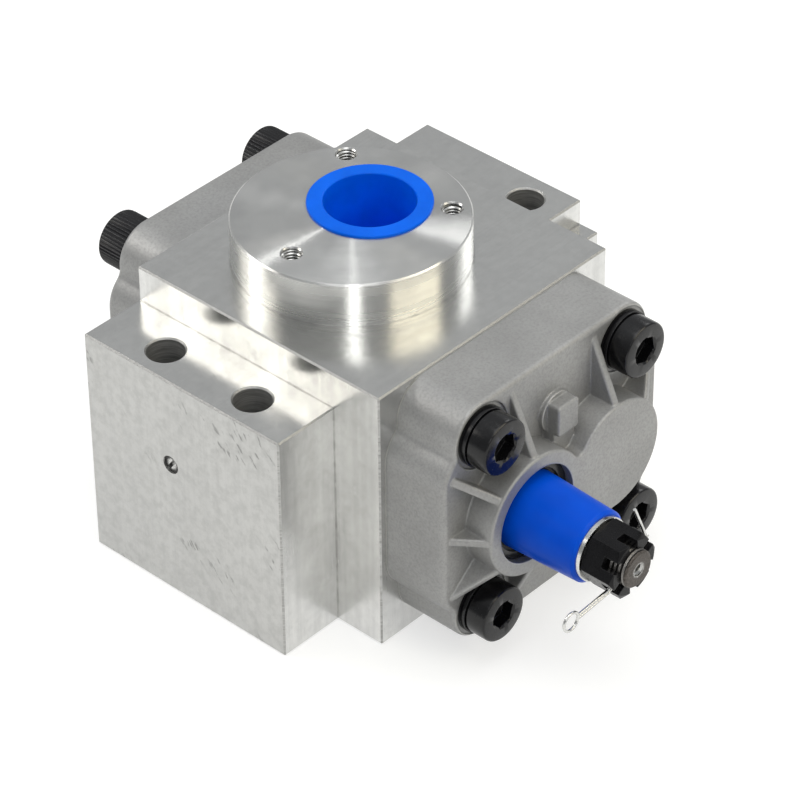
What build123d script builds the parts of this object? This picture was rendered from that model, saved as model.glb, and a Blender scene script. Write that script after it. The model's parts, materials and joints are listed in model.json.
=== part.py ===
from build123d import *
import math
import os

# External gear pump with a milled block, two bolt-on covers and a tapered drive shaft.
# Millimetres. Z is up, the drive shaft points to -Y, X runs from one gear to the other.
# The origin is the centre of the outlet port in the bottom face.

# Block
block_width = 100.0
block_length = 97.3
block_height = 91.7
edge_break = 0.5
same_place = 0.01
outlet_from_front = 52.5

# Mounting lugs
lug_height = 79.5
lug_hole_d = 11.7
lug_hole_break = 0.5
left_lug_reach = 23.0
left_lug_setback = 17.8
left_hole_inset = 10.5
left_hole_setback = 38.0
left_hole_spacing = 35.5
right_lug_reach = 27.8
right_lug_setback = 33.3
right_hole_inset = 11.1
right_hole_setback = 46.4
right_step_length = 7.2
right_step_drop = 8.7
side_plug_setback = 62.8
side_plug_d = 6.0
side_plug_length = 6.0
side_plug_sink = 0.6
side_plug_spare = 1.0
side_plug_slot = 1.2
side_plug_turn = 35.0

# Inlet boss and ports
boss_d = 72.4
boss_height = 14.5
boss_shift_x = -3.1
boss_shift_y = 1.7
inlet_bore_d = 31.0
inlet_off_boss = 8.2
port_tap_d = 6.0
port_tap_depth = 14.0
port_tap_mouth_d = 6.9
port_pair_x = 22.3
port_pair_shift = 1.4
port_pair_spacing = 43.0
port_single_x = -26.2
port_single_shift = -0.7
outlet_bore_d = 20.0
outlet_bore_depth = 20.0
outlet_passage_d = 16.0
outlet_ring_d = 27.0
outlet_ring_wire = 3.0
port_run_in = 9.0

# Gears
gear_module = 3.0
gear_teeth = 12
pressure_angle = 25.0
addendum = 2.8
dedendum = 3.75
flank_clearance = 0.3
tip_clearance = 0.3
side_clearance = 0.1
shaft_height = 48.5

# Bearing blocks and bushes
bearing_length = 27.0
bearing_fit = 0.05
bush_wall = 1.5
bush_length = 22.0
bush_fit = 0.02
journal_d = 22.0
journal_clearance = 0.05
journal_short = 2.0
pressure_seal_r = 17.5
pressure_seal_width = 2.4
pressure_seal_depth = 2.0
seal_fit = 0.15
relief_width = 9.0
relief_gap = 3.2
relief_depth = 1.5

# Covers
front_plate = 22.5
rear_plate = 17.0
cover_corner_r = 11.5
cover_bulge_reach = 5.1
cover_bulge_height = 61.0
cover_bulge_r = 12.0
cover_waist_r = 4.0
cover_edge_r = 1.6
screw_reach = 31.0
body_seal_r = 24.5
body_seal_wire = 2.8
dowel_reach = 31.0
dowel_d = 6.0
dowel_length = 14.0

# Raised nose of the front cover
nose_height = 10.0
drive_nose_d = 40.6
idler_nose_d = 37.6
nose_edge_r = 0.6
nose_notch_r = 2.5
rib_width = 2.6
rib_root = 2.0
rib_drop = 1.0
rib_round = 0.7
rib_spread = 22.6
rib_inset = 0.6
rib_lean = 40.0
pad_d = 13.4
pad_height = 1.6
pad_block_width = 9.0
pad_block_length = 10.6
pad_block_height = 6.0
pad_block_r = 1.2
pad_edge_r = 0.6
pad_above_axis = 22.8
pad_web_height = 4.2

# Shaft seal and snap ring
seal_bore_d = 32.0
seal_width = 7.0
seal_case_wall = 1.4
seal_mouth = 1.6
seal_lip_root = 2.2
seal_lip_waist = 1.8
seal_lip_heel = 1.2
seal_waist_depth = 3.1
seal_lip_depth = 4.2
seal_heel_depth = 5.3
snap_ring_inset = 3.0
snap_ring_thick = 1.2
snap_ring_width = 3.2
snap_groove_depth = 0.8
snap_eye_r = 1.7
snap_eye_turn = 16.0
snap_gap = 5.0
shaft_hole_d = 24.0

# Cap screws and lock washers
screw_d = 12.0
screw_head_d = 18.0
front_head_height = 7.2
front_hex = 8.0
front_hex_depth = 4.0
front_screw_length = 45.0
rear_head_height = 12.0
rear_hex = 10.0
rear_hex_depth = 6.6
rear_screw_length = 40.0
screw_head_chamfer = 0.8
screw_tip_chamfer = 1.0
tap_spare = 4.0
screw_hole_d = 13.0
thread_fit = 0.05
washer_d = 19.0
washer_thick = 2.4
washer_split = 1.0
washer_split_lean = 35.0
seat_sink = 0.8
seat_margin = 1.2

# Drive end of the shaft
taper_start = 31.0
taper_length = 23.0
taper_ratio = 8.0
stud_d = 12.0
stud_length = 16.5
stud_chamfer = 0.6
centre_hole_d = 4.0
centre_tip_d = 1.0
centre_depth = 2.6
key_width = 4.0
key_d = 16.0
key_stand = 1.0
key_fit = 0.02
key_angle = -60.0
pin_hole_d = 3.2
sleeve_length = 27.0
sleeve_overhang = 1.5
sleeve_root_d = 25.0
sleeve_tip_d = 23.0
sleeve_fit = 0.15
sleeve_round = 0.8
shaft_washer_d = 20.5
shaft_washer_bore_d = 13.0
shaft_washer_thick = 1.5
nut_flats = 18.0
nut_turn = 3.0
nut_body_height = 6.7
nut_chamfer_angle = 30.0
crown_height = 5.0
slot_width = 3.5
slot_count = 6
pin_wire = 1.0
pin_spread = 1.2
pin_overhang = 0.8
pin_bend_r = 1.4
pin_tail_rise = 12.4
pin_tail_run = 5.3
pin_short_tail = 0.6
pin_reach = 14.6
pin_droop = 1.0
eye_d = 6.0

# Inlet cap
cap_flange_d = 38.0
cap_flange_thick = 1.0
cap_wall = 1.2
cap_depth = 20.0
cap_fit = 0.3
cap_edge_r = 0.4
cap_mouth_r = 0.5

# Places worked out from the sizes above
front_y = -outlet_from_front
rear_y = front_y + block_length
plate_y = front_y - front_plate
nose_y = plate_y - nose_height
half_width = block_width / 2
boss_top = block_height + boss_height
inlet_x = boss_shift_x + inlet_off_boss
inlet_y = boss_shift_y
pitch_r = gear_module * gear_teeth / 2
tip_r = pitch_r + addendum
root_r = pitch_r - dedendum
chamber_r = tip_r + tip_clearance
gear_front = front_y + bearing_length + side_clearance
gear_rear = rear_y - bearing_length - side_clearance
journal_r = journal_d / 2
gear_axes = (-pitch_r, pitch_r)
screw_spots = [(x * screw_reach, shaft_height + z * screw_reach) for x in (-1, 1) for z in (-1, 1)]
dowel_spots = [(0, shaft_height + z * dowel_reach) for z in (-1, 1)]
front_seat_y = plate_y + seat_sink
rear_seat_y = rear_y + rear_plate - seat_sink
taper_y = front_y - taper_start
taper_end_y = taper_y - taper_length
taper_end_r = journal_r - taper_length / taper_ratio / 2
sleeve_end_y = taper_end_y - sleeve_overhang
nut_y = sleeve_end_y - shaft_washer_thick
crown_y = nut_y - nut_body_height
crown_end_y = crown_y - crown_height
pin_y = (crown_y + crown_end_y) / 2
pin_turn = nut_turn + 180.0 / slot_count
stud_end_y = taper_end_y - stud_length


def box(x0, x1, y0, y1, z0, z1):
    """A block between two corners."""
    return Pos((x0 + x1) / 2, (y0 + y1) / 2, (z0 + z1) / 2) * Box(x1 - x0, y1 - y0, z1 - z0)


def broken_box(*corners):
    """A milled block with its sharp edges broken."""
    return chamfer(box(*corners).edges(), edge_break)


def facing_front(y, x=0.0, z=0.0):
    """A plane seen from the front: local x is X, local y is Z, and it extrudes towards -Y."""
    return Plane(origin=(x, y, z), x_dir=(1, 0, 0), z_dir=(0, -1, 0))


def facing_rear(y, x=0.0, z=0.0):
    """The same plane seen from the back: it extrudes towards +Y."""
    return Plane(origin=(x, y, z), x_dir=(-1, 0, 0), z_dir=(0, 1, 0))


def rod_y(x, z, radius, y0, y1):
    """A round bar along Y, from the front end y0 to the rear end y1."""
    return extrude(facing_front(y1, x, z) * Circle(radius), y1 - y0)


def rod_z(x, y, radius, z0, z1):
    """A round bar along Z."""
    return Pos(x, y, (z0 + z1) / 2) * Cylinder(radius, z1 - z0)


def twin_rods(radius, y0, y1):
    """Two overlapping bars on the gear axes: the figure-of-eight of the gear chamber."""
    return rod_y(gear_axes[0], shaft_height, radius, y0, y1) + rod_y(gear_axes[1], shaft_height, radius, y0, y1)


def one_solid(shape):
    """The single solid of a finished piece."""
    return Part(shape.solids()[0].wrapped) if len(shape.solids()) == 1 else shape


def save(name, *solids):
    """One STEP file for each node; like fasteners share a node as separate solids."""
    shape = one_solid(solids[0])
    if len(solids) > 1:
        shape = Compound(children=[one_solid(solid).solids()[0] for solid in solids])
    export_step(shape, f"parts/{name}.step")


# Tapped hole for a cover screw, as deep as the screw reaches and a little more
def tapped_holes(seat_gap, length, plate, face_y, direction):
    reach = length - seat_gap - plate + tap_spare
    ends = sorted((face_y, face_y + direction * reach))
    holes = [rod_y(x, z, screw_d / 2 + thread_fit, ends[0], ends[1]) for x, z in screw_spots]
    return holes


front_grip = front_plate - seat_sink
rear_grip = rear_plate - seat_sink


# Pump body: the milled block with its two lugs, the inlet boss and the gear chamber
def make_body():
    body = broken_box(-half_width, half_width, front_y, rear_y, 0, block_height)
    left_face = -half_width - left_lug_reach
    right_face = half_width + right_lug_reach
    body += broken_box(left_face, 0, front_y + left_lug_setback, rear_y, 0, lug_height)
    lug_front = front_y + right_lug_setback
    body += broken_box(0, right_face, lug_front, rear_y, 0, lug_height)
    step_front = lug_front - right_step_length
    step_top = lug_height - right_step_drop
    body += broken_box(0, right_face, step_front, lug_front + right_step_length, 0, step_top)
    boss = rod_z(boss_shift_x, boss_shift_y, boss_d / 2, block_height, boss_top)
    body += chamfer(boss.edges().sort_by(Axis.Z)[-1], edge_break)
    body -= twin_rods(chamber_r, front_y, rear_y)

    body -= rod_z(inlet_x, inlet_y, inlet_bore_d / 2, shaft_height + port_run_in, boss_top)
    body -= rod_z(0, 0, outlet_bore_d / 2, 0, outlet_bore_depth)
    body -= rod_z(0, 0, outlet_passage_d / 2, 0, shaft_height - port_run_in)
    body -= make_outlet_groove()

    for x, y in port_taps():
        body -= rod_z(x, y, port_tap_d / 2, boss_top - port_tap_depth, boss_top)
        body -= countersink(x, y, port_tap_d / 2, (port_tap_mouth_d - port_tap_d) / 2, boss_top)

    for x, y in lug_holes():
        body -= rod_z(x, y, lug_hole_d / 2, 0, lug_height)
        body -= countersink(x, y, lug_hole_d / 2, lug_hole_break, lug_height)
        body -= countersink(x, y, lug_hole_d / 2, lug_hole_break, 0, -1)
    for hole in tapped_holes(washer_thick, front_screw_length, front_grip, front_y, 1):
        body -= hole
    for hole in tapped_holes(0, rear_screw_length, rear_grip, rear_y, -1):
        body -= hole
    for x, z in dowel_spots:
        body -= rod_y(x, z, dowel_d / 2, front_y, front_y + dowel_length / 2)
        body -= rod_y(x, z, dowel_d / 2, rear_y - dowel_length / 2, rear_y)
    body -= side_plug_rod(side_plug_d / 2 + thread_fit, 0, side_plug_sink + side_plug_length + side_plug_spare)
    return body


def countersink(x, y, radius, depth, face_z, up=1):
    """A 45 degree mouth for a vertical hole, in an upper face or, with up at -1, in a lower one."""
    radii = (radius, radius + depth) if up > 0 else (radius + depth, radius)
    return Pos(x, y, face_z - up * depth / 2) * Cone(*radii, depth)


def port_taps():
    """Centres of the three screws that hold the inlet flange."""
    half = port_pair_spacing / 2
    pair_x = boss_shift_x + port_pair_x
    pair_y = boss_shift_y + port_pair_shift
    return [
        (pair_x, pair_y + half),
        (pair_x, pair_y - half),
        (boss_shift_x + port_single_x, boss_shift_y + port_single_shift),
    ]


def lug_holes():
    """Centres of the three vertical holes in the lugs."""
    left_x = -half_width - left_lug_reach + left_hole_inset
    left_y = front_y + left_hole_setback
    right_x = half_width + right_lug_reach - right_hole_inset
    return [
        (left_x, left_y),
        (left_x, left_y + left_hole_spacing),
        (right_x, front_y + right_hole_setback),
    ]


def side_plug_rod(radius, start, end):
    """A bar into the outer face of the left lug, between two depths."""
    face = -half_width - left_lug_reach
    origin = (face + start, front_y + side_plug_setback, shaft_height)
    plane = Plane(origin=origin, x_dir=(0, 1, 0), z_dir=(1, 0, 0))
    return extrude(plane * Circle(radius), end - start)


def make_outlet_groove():
    """Face groove for the ring that seals the outlet on the bottom face."""
    outer = outlet_ring_d / 2 + outlet_ring_wire / 2 + seal_fit
    inner = outlet_ring_d / 2 - outlet_ring_wire / 2 - seal_fit
    return rod_z(0, 0, outer, 0, outlet_ring_wire) - rod_z(0, 0, inner, 0, outlet_ring_wire)


# Outline that both covers share: bolt corners in line with the screws, and a fuller waist
def cover_outline():
    half = screw_reach + cover_corner_r
    corners = RectangleRounded(2 * half, 2 * half, cover_corner_r)
    bulge = RectangleRounded(2 * (half + cover_bulge_reach), cover_bulge_height, cover_bulge_r)
    outline = corners + bulge
    bulge_end = cover_bulge_height / 2
    on_side = [v for v in outline.vertices() if abs(abs(v.X) - half) < same_place]
    inner_corners = [v for v in on_side if abs(v.Y) < bulge_end]
    return fillet(inner_corners, cover_waist_r)


def body_seal_path(radius):
    """Racetrack around both gear axes."""
    return SlotCenterToCenter(2 * pitch_r, 2 * radius)


def seal_groove(plane):
    """Groove in a cover's inner face for the body seal."""
    half = body_seal_wire / 2 + seal_fit
    ring = body_seal_path(body_seal_r + half) - body_seal_path(body_seal_r - half)
    return extrude(plane * ring, body_seal_wire)


# Front cover: plate, nose over both shafts, gussets and the small cast pad
def make_front_cover():
    cover = extrude(facing_front(front_y, 0, shaft_height) * cover_outline(), front_plate)
    cover = fillet(cover.faces().sort_by(Axis.Y)[0].edges(), cover_edge_r)
    nose_shape = Pos(gear_axes[0], 0) * Circle(drive_nose_d / 2)
    nose_shape += Pos(gear_axes[1], 0) * Circle(idler_nose_d / 2)
    notches = [v for v in nose_shape.vertices() if abs(v.X) < pitch_r / 2 and abs(v.Y) > 1]
    nose_shape = fillet(notches, nose_notch_r)
    nose_foot = plate_y + edge_break
    nose = extrude(facing_front(nose_foot, 0, shaft_height) * nose_shape, nose_height + edge_break)
    nose = fillet(nose.faces().sort_by(Axis.Y)[0].edges(), nose_edge_r)
    cover += nose
    for gusset in make_gussets():
        cover += gusset
    for piece in make_pad():
        cover += piece
    for x, z in screw_spots:
        seat_r = washer_d / 2 + seat_margin
        cover -= rod_y(x, z, seat_r, plate_y - nose_height, front_seat_y)
        cover -= rod_y(x, z, screw_hole_d / 2, plate_y, front_y)
    for x, z in dowel_spots:
        cover -= rod_y(x, z, dowel_d / 2, front_y - dowel_length / 2, front_y)
    cover -= rod_y(gear_axes[0], shaft_height, shaft_hole_d / 2, nose_y, front_y)
    pocket_end = nose_y + snap_ring_inset + snap_ring_thick + seal_width
    cover -= rod_y(gear_axes[0], shaft_height, seal_bore_d / 2, nose_y, pocket_end)
    groove_y = nose_y + snap_ring_inset
    groove_r = seal_bore_d / 2 + snap_groove_depth
    cover -= rod_y(gear_axes[0], shaft_height, groove_r, groove_y, groove_y + snap_ring_thick)
    cover -= seal_groove(facing_front(front_y, 0, shaft_height))
    return cover


def gusset(x_in, z_in, x_out, z_out):
    """A triangular rib from the top edge of the nose down to the rim of the plate, with a rounded crest."""
    length = math.hypot(x_out - x_in, z_out - z_in)
    run = Vector((x_out - x_in) / length, 0, (z_out - z_in) / length)
    side = run.cross(Vector(0, -1, 0))
    depth = edge_break
    plane = Plane(origin=Vector(x_in, plate_y + depth, shaft_height + z_in), x_dir=run, z_dir=side)
    rise = nose_height + depth - rib_drop
    profile = Polyline((-rib_root, 0), (length, 0), (0, rise), (-rib_root, rise), close=True)
    rib = extrude(make_face(profile), rib_width / 2, both=True)
    crest = rib.edges().filter_by(Axis((0, 0, 0), (-length, rise, 0)))
    return plane * fillet(crest, rib_round)


def make_gussets():
    """Five ribs on each side, the same above and below the shafts."""
    half = screw_reach + cover_corner_r
    nose_radii = (drive_nose_d / 2, idler_nose_d / 2)
    ribs = []
    for side, axis_x, nose_r in ((-1, gear_axes[0], nose_radii[0]), (1, gear_axes[1], nose_radii[1])):
        waist = side * (half + cover_bulge_reach - cover_edge_r - edge_break)
        ribs.append(gusset(axis_x + side * nose_r, 0, waist, 0))
        for up in (-1, 1):
            top = up * (half - cover_edge_r - edge_break)
            ribs.append(gusset(axis_x, up * nose_r, axis_x, top))
            start_x = axis_x + side * nose_r * math.cos(math.radians(rib_lean))
            start_z = up * nose_r * math.sin(math.radians(rib_lean))
            ribs.append(gusset(start_x, start_z, waist - side * rib_inset, up * rib_spread))
    return ribs


def make_pad():
    """Cast pad in the upper notch of the nose, with the web that ties it to the nose."""
    z_mid = shaft_height + pad_above_axis
    pad = rod_y(0, z_mid, pad_d / 2, plate_y - pad_height, plate_y + edge_break)
    block_shape = RectangleRounded(pad_block_width, pad_block_length, pad_block_r)
    block = extrude(facing_front(plate_y + edge_break, 0, z_mid) * block_shape, pad_block_height + edge_break)
    block = fillet(block.faces().sort_by(Axis.Y)[0].edges(), pad_edge_r)
    web = box(
        -pad_block_width / 2,
        pad_block_width / 2,
        plate_y - pad_web_height,
        plate_y + edge_break,
        shaft_height,
        z_mid,
    )
    return pad, block, web


# Rear cover: a plain plate with the same outline
def make_rear_cover():
    cover = extrude(facing_rear(rear_y, 0, shaft_height) * cover_outline(), rear_plate)
    cover = fillet(cover.faces().sort_by(Axis.Y)[-1].edges(), cover_edge_r)
    for x, z in screw_spots:
        seat_r = screw_head_d / 2 + seat_margin
        cover -= rod_y(x, z, seat_r, rear_seat_y, rear_y + rear_plate)
        cover -= rod_y(x, z, screw_hole_d / 2, rear_y, rear_y + rear_plate)
    for x, z in dowel_spots:
        cover -= rod_y(x, z, dowel_d / 2, rear_y, rear_y + dowel_length / 2)
    cover -= seal_groove(facing_rear(rear_y, 0, shaft_height))
    return cover


# Body seals: a round cord bent into a racetrack, squeezed between cover and block
def make_body_seal(face_y, direction):
    mid_y = face_y + direction * body_seal_wire / 2
    plane = facing_front(mid_y, 0, shaft_height)
    path = plane * body_seal_path(body_seal_r).wires()[0]
    start = path @ 0
    section = Plane(origin=start, z_dir=path % 0) * Circle(body_seal_wire / 2)
    return sweep(section, path=path)


# Outlet ring: flush in its groove in the bottom face
def make_outlet_ring():
    return Pos(0, 0, outlet_ring_wire / 2) * Torus(outlet_ring_d / 2, outlet_ring_wire / 2)


# Bearing blocks: a figure-of-eight that fills the chamber in front of and behind the gears
def pressure_seal_shape(grow):
    """Open curve of the pressure seal: two rings joined, cut away on the inlet side."""
    outer = pressure_seal_r + pressure_seal_width / 2 + grow
    inner = pressure_seal_r - pressure_seal_width / 2 - grow
    spots = [Pos(x, 0) for x in gear_axes]
    rings = sum((spot * Circle(outer) for spot in spots), Sketch())
    rings -= sum((spot * Circle(inner) for spot in spots), Sketch())
    mouth = Pos(0, pressure_seal_r + grow) * Rectangle(4 * chamber_r, 2 * pressure_seal_r)
    return rings - mouth


def relief_pockets(face_y, direction):
    """Pockets on both sides of the mesh, where oil trapped between the teeth gets away."""
    ends = sorted((face_y, face_y - direction * relief_depth))
    half = relief_width / 2
    above = box(-half, half, ends[0], ends[1], shaft_height + relief_gap, shaft_height + chamber_r)
    below = box(-half, half, ends[0], ends[1], shaft_height - chamber_r, shaft_height - relief_gap)
    return above + below


def make_bearing_block(y0, y1, seal_plane, gear_face_y, direction):
    block = twin_rods(chamber_r - bearing_fit, y0, y1)
    block -= relief_pockets(gear_face_y, direction)
    for x in gear_axes:
        block -= rod_y(x, shaft_height, journal_r + journal_clearance + bush_wall + bush_fit, y0, y1)
    block -= extrude(seal_plane * pressure_seal_shape(seal_fit), -pressure_seal_depth)
    return block


def make_pressure_seal(seal_plane):
    return extrude(seal_plane * pressure_seal_shape(0), -pressure_seal_depth)


def make_bush(x, y_mid):
    inner = journal_r + journal_clearance
    y0 = y_mid - bush_length / 2
    y1 = y_mid + bush_length / 2
    return rod_y(x, shaft_height, inner + bush_wall, y0, y1) - rod_y(x, shaft_height, inner, y0, y1)


# Gear teeth: involute flanks on a radial root
def involute(angle):
    return math.tan(angle) - angle


def gear_outline(turn):
    """A gear's outline, with one tooth centred at the angle turn."""
    alpha = math.radians(pressure_angle)
    base_r = pitch_r * math.cos(alpha)
    start_r = max(base_r, root_r)
    thickness = math.pi * gear_module / 2 - flank_clearance
    flank_steps = 4

    def half_angle(radius):
        flank = math.acos(min(1.0, base_r / radius))
        return thickness / 2 / pitch_r + involute(alpha) - involute(flank)

    def at(radius, angle):
        return (radius * math.cos(angle), radius * math.sin(angle))

    radii = [start_r + (tip_r - start_r) * i / flank_steps for i in range(flank_steps + 1)]
    pitch_angle = 2 * math.pi / gear_teeth
    edges = []
    for tooth in range(gear_teeth):
        mid = turn + tooth * pitch_angle
        right = [at(r, mid - half_angle(r)) for r in radii]
        left = [at(r, mid + half_angle(r)) for r in reversed(radii)]
        foot = half_angle(start_r)
        edges.append(Line(at(root_r, mid - foot), right[0]))
        edges.append(Spline(right))
        edges.append(ThreePointArc(right[-1], at(tip_r, mid), left[0]))
        edges.append(Spline(left))
        edges.append(Line(left[-1], at(root_r, mid + foot)))
        root_arc = [mid + foot, mid + pitch_angle / 2, mid + pitch_angle - foot]
        edges.append(ThreePointArc(*[at(root_r, angle) for angle in root_arc]))
    return make_face(Wire(edges))


def make_gear(axis_x, turn):
    """A gear with its rear journal, made in one piece with its shaft."""
    teeth = extrude(facing_front(gear_rear, axis_x, shaft_height) * gear_outline(turn), gear_rear - gear_front)
    teeth += rod_y(axis_x, shaft_height, journal_r, gear_rear, rear_y - journal_short)
    return teeth


# Drive gear and shaft: journal, seal land, taper, threaded stud and centre hole
def make_drive_gear():
    axis_x = gear_axes[0]
    shaft = make_gear(axis_x, 0)
    shaft += rod_y(axis_x, shaft_height, journal_r, taper_y, gear_front)
    taper = Cone(journal_r, taper_end_r, taper_length)
    shaft += Plane(origin=(axis_x, (taper_y + taper_end_y) / 2, shaft_height), z_dir=(0, -1, 0)) * taper
    stud = rod_y(axis_x, shaft_height, stud_d / 2, stud_end_y, taper_end_y)
    stud = chamfer(stud.faces().sort_by(Axis.Y)[0].edges(), stud_chamfer)
    shaft += stud
    centre = Cone(centre_hole_d / 2, centre_tip_d / 2, centre_depth)
    shaft -= Plane(origin=(axis_x, stud_end_y + centre_depth / 2, shaft_height), z_dir=(0, 1, 0)) * centre
    shaft -= pin_line(pin_hole_d / 2, stud_d)
    shaft -= key_disc(key_width, 0.0)
    return shaft


def pin_line(radius, reach):
    """A bar through the stud where the split pin goes."""
    turn = math.radians(pin_turn)
    plane = Plane(origin=(gear_axes[0], pin_y, shaft_height), z_dir=(math.cos(turn), 0, math.sin(turn)))
    return extrude(plane * Circle(radius), reach, both=True)


# Driven gear and shaft
def make_driven_gear():
    axis_x = gear_axes[1]
    shaft = make_gear(axis_x, math.pi / gear_teeth)
    shaft += rod_y(axis_x, shaft_height, journal_r, front_y + journal_short, gear_front)
    return shaft


# Key: a half-moon in the taper
def key_mid():
    """Middle of the key along the shaft, and the taper's radius there."""
    mid_y = (taper_y + taper_end_y) / 2
    return mid_y, (journal_r + taper_end_r) / 2


def key_disc(width, shrink):
    """The full disc that the key is cut from."""
    mid_y, mid_r = key_mid()
    turn = math.radians(key_angle)
    out = Vector(math.cos(turn), 0, math.sin(turn))
    side = out.cross(Vector(0, 1, 0))
    centre = Vector(gear_axes[0], mid_y, shaft_height) + out * (mid_r + key_stand)
    plane = Plane(origin=centre, x_dir=Vector(0, 1, 0), z_dir=side)
    disc = Circle(key_d / 2 - shrink)
    return extrude(plane * disc, width / 2 - shrink, both=True)


def make_key():
    """The half-moon itself, cut flat at the height it stands above the taper."""
    mid_y, mid_r = key_mid()
    turn = math.radians(key_angle)
    out = Vector(math.cos(turn), 0, math.sin(turn))
    disc = key_disc(key_width, key_fit)
    centre = Vector(gear_axes[0], mid_y, shaft_height) + out * (mid_r + key_stand)
    top = Plane(origin=centre, z_dir=out)
    return disc - extrude(top * Rectangle(2 * key_d, 2 * key_d), key_d)


# Shaft seal: a pressed case with a rubber lip that rides on the shaft
def make_shaft_seal():
    front = nose_y + snap_ring_inset + snap_ring_thick
    outer = seal_bore_d / 2 - bush_fit
    lip = journal_r + journal_clearance
    points = [
        (lip + seal_mouth, 0),
        (outer, 0),
        (outer, seal_width),
        (outer - seal_case_wall, seal_width),
        (outer - seal_case_wall, seal_case_wall),
        (lip + seal_lip_root, seal_case_wall),
        (lip + seal_lip_waist, seal_waist_depth),
        (lip + seal_lip_heel, seal_heel_depth),
        (lip, seal_lip_depth),
    ]
    return turned(points, front)


def turned(points, start_y):
    """A ring about the drive shaft, from points of radius and depth behind start_y."""
    plane = Plane(origin=(gear_axes[0], start_y, shaft_height), x_dir=(1, 0, 0), z_dir=(0, 0, 1))
    face = plane * make_face(Polyline(*points, close=True))
    axis = Axis((gear_axes[0], 0, shaft_height), (0, 1, 0))
    return revolve(face, axis)


# Snap ring: an open ring with two eyes for the pliers
def make_snap_ring():
    outer = seal_bore_d / 2 + snap_groove_depth - bush_fit
    inner = outer - snap_ring_width
    ring = Circle(outer) - Circle(inner)
    spots = [Rot(0, 0, 90 + side * snap_eye_turn) * Pos(inner + snap_eye_r / 2, 0) for side in (-1, 1)]
    eyes = sum((spot * Circle(snap_eye_r) for spot in spots), Sketch())
    holes = sum((spot * Circle(snap_eye_r / 2) for spot in spots), Sketch())
    gap = Pos(0, outer) * Rectangle(snap_gap, 4 * snap_ring_width)
    shape = ring + eyes - holes - gap
    y_back = nose_y + snap_ring_inset + snap_ring_thick
    return extrude(facing_front(y_back, gear_axes[0], shaft_height) * shape, snap_ring_thick)


# Cap screws, seen along their own axis: the head is above the seat
def cap_screw(plane, head_height, hex_flats, hex_depth, length):
    head = extrude(Circle(screw_head_d / 2), head_height)
    head = chamfer(head.edges().sort_by(Axis.Z)[-1], screw_head_chamfer)
    hex_r = hex_flats / math.sqrt(3)
    head -= Pos(0, 0, head_height) * extrude(RegularPolygon(hex_r, 6), -hex_depth)
    shank = extrude(Circle(screw_d / 2), -length)
    shank = chamfer(shank.edges().sort_by(Axis.Z)[0], screw_tip_chamfer)
    return plane * (head + shank)


def lock_washer(plane):
    """A spring washer, closed flat, with its slanting split."""
    ring = extrude(Circle(washer_d / 2) - Circle(screw_hole_d / 2), washer_thick)
    cut = Box(washer_d, washer_split, 4 * washer_thick)
    split = Pos(washer_d / 2, 0, washer_thick / 2) * Rot(washer_split_lean, 0, 0) * cut
    return plane * (ring - split)


# Dowels that line the covers up with the block
def make_dowels():
    dowels = []
    for x, z in dowel_spots:
        for face_y in (front_y, rear_y):
            ends = (face_y - dowel_length / 2, face_y + dowel_length / 2)
            dowels.append(rod_y(x, z, dowel_d / 2 - bush_fit, *ends))
    return dowels


# Slotted plug in the left lug
def make_side_plug():
    plug = side_plug_rod(side_plug_d / 2, side_plug_sink, side_plug_sink + side_plug_length)
    face = -half_width - left_lug_reach + side_plug_sink
    y_mid = front_y + side_plug_setback
    cut = Box(2 * side_plug_slot, side_plug_slot, 2 * side_plug_d)
    slot = Pos(face, y_mid, shaft_height) * Rot(side_plug_turn, 0, 0) * cut
    return plug - slot


# Protective sleeve over the taper
def make_sleeve():
    start = sleeve_end_y + sleeve_length
    rear = start - sleeve_end_y
    slope = (sleeve_root_d - sleeve_tip_d) / 2 / sleeve_length
    tip_r_out = sleeve_tip_d / 2
    root_r_out = tip_r_out + slope * rear
    taper_in = sleeve_overhang
    inner_tip = taper_end_r + sleeve_fit
    inner_root = journal_r + sleeve_fit
    points = [
        (inner_tip, 0),
        (tip_r_out - sleeve_round, 0),
        (tip_r_out, sleeve_round),
        (root_r_out, rear),
        (inner_root, rear),
        (inner_root, taper_in + taper_length),
        (inner_tip, taper_in),
    ]
    sleeve = turned(points, sleeve_end_y)
    mid_y, mid_r = key_mid()
    turn = math.radians(key_angle)
    out = Vector(math.cos(turn), 0, math.sin(turn))
    origin = Vector(gear_axes[0], mid_y, shaft_height)
    plane = Plane(origin=origin, x_dir=Vector(0, 1, 0), z_dir=out)
    slot = Rectangle(key_d + 2 * sleeve_fit, key_width + 2 * sleeve_fit)
    return sleeve - extrude(plane * slot, mid_r + key_stand + sleeve_fit)


# Washer and castle nut on the stud
def make_shaft_washer():
    ring = Circle(shaft_washer_d / 2) - Circle(shaft_washer_bore_d / 2)
    return extrude(facing_front(sleeve_end_y, gear_axes[0], shaft_height) * ring, shaft_washer_thick)


def make_castle_nut():
    """A hexagon nut, chamfered at both ends, with slots across the flats of its outer end."""
    corner_r = nut_flats / math.sqrt(3)
    height = nut_body_height + crown_height
    body = extrude(RegularPolygon(corner_r, 6), height)
    chamfer_cut = (corner_r - nut_flats / 2) * math.tan(math.radians(nut_chamfer_angle))
    shape_points = [
        (0, 0),
        (nut_flats / 2, 0),
        (corner_r, chamfer_cut),
        (corner_r, height - chamfer_cut),
        (nut_flats / 2, height),
        (0, height),
    ]
    envelope = revolve(Plane.XZ * make_face(Polyline(*shape_points, close=True)), Axis.Z)
    body = body & envelope
    for slot in range(slot_count // 2):
        turn = (slot + 0.5) * 360.0 / slot_count
        cut = Box(4 * corner_r, slot_width, 2 * crown_height)
        body -= Rot(0, 0, turn) * Pos(0, 0, height) * cut
    body -= extrude(Circle(stud_d / 2 + thread_fit), height)
    turned_nut = Rot(0, 0, nut_turn) * body
    return facing_front(nut_y, gear_axes[0], shaft_height) * turned_nut


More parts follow.
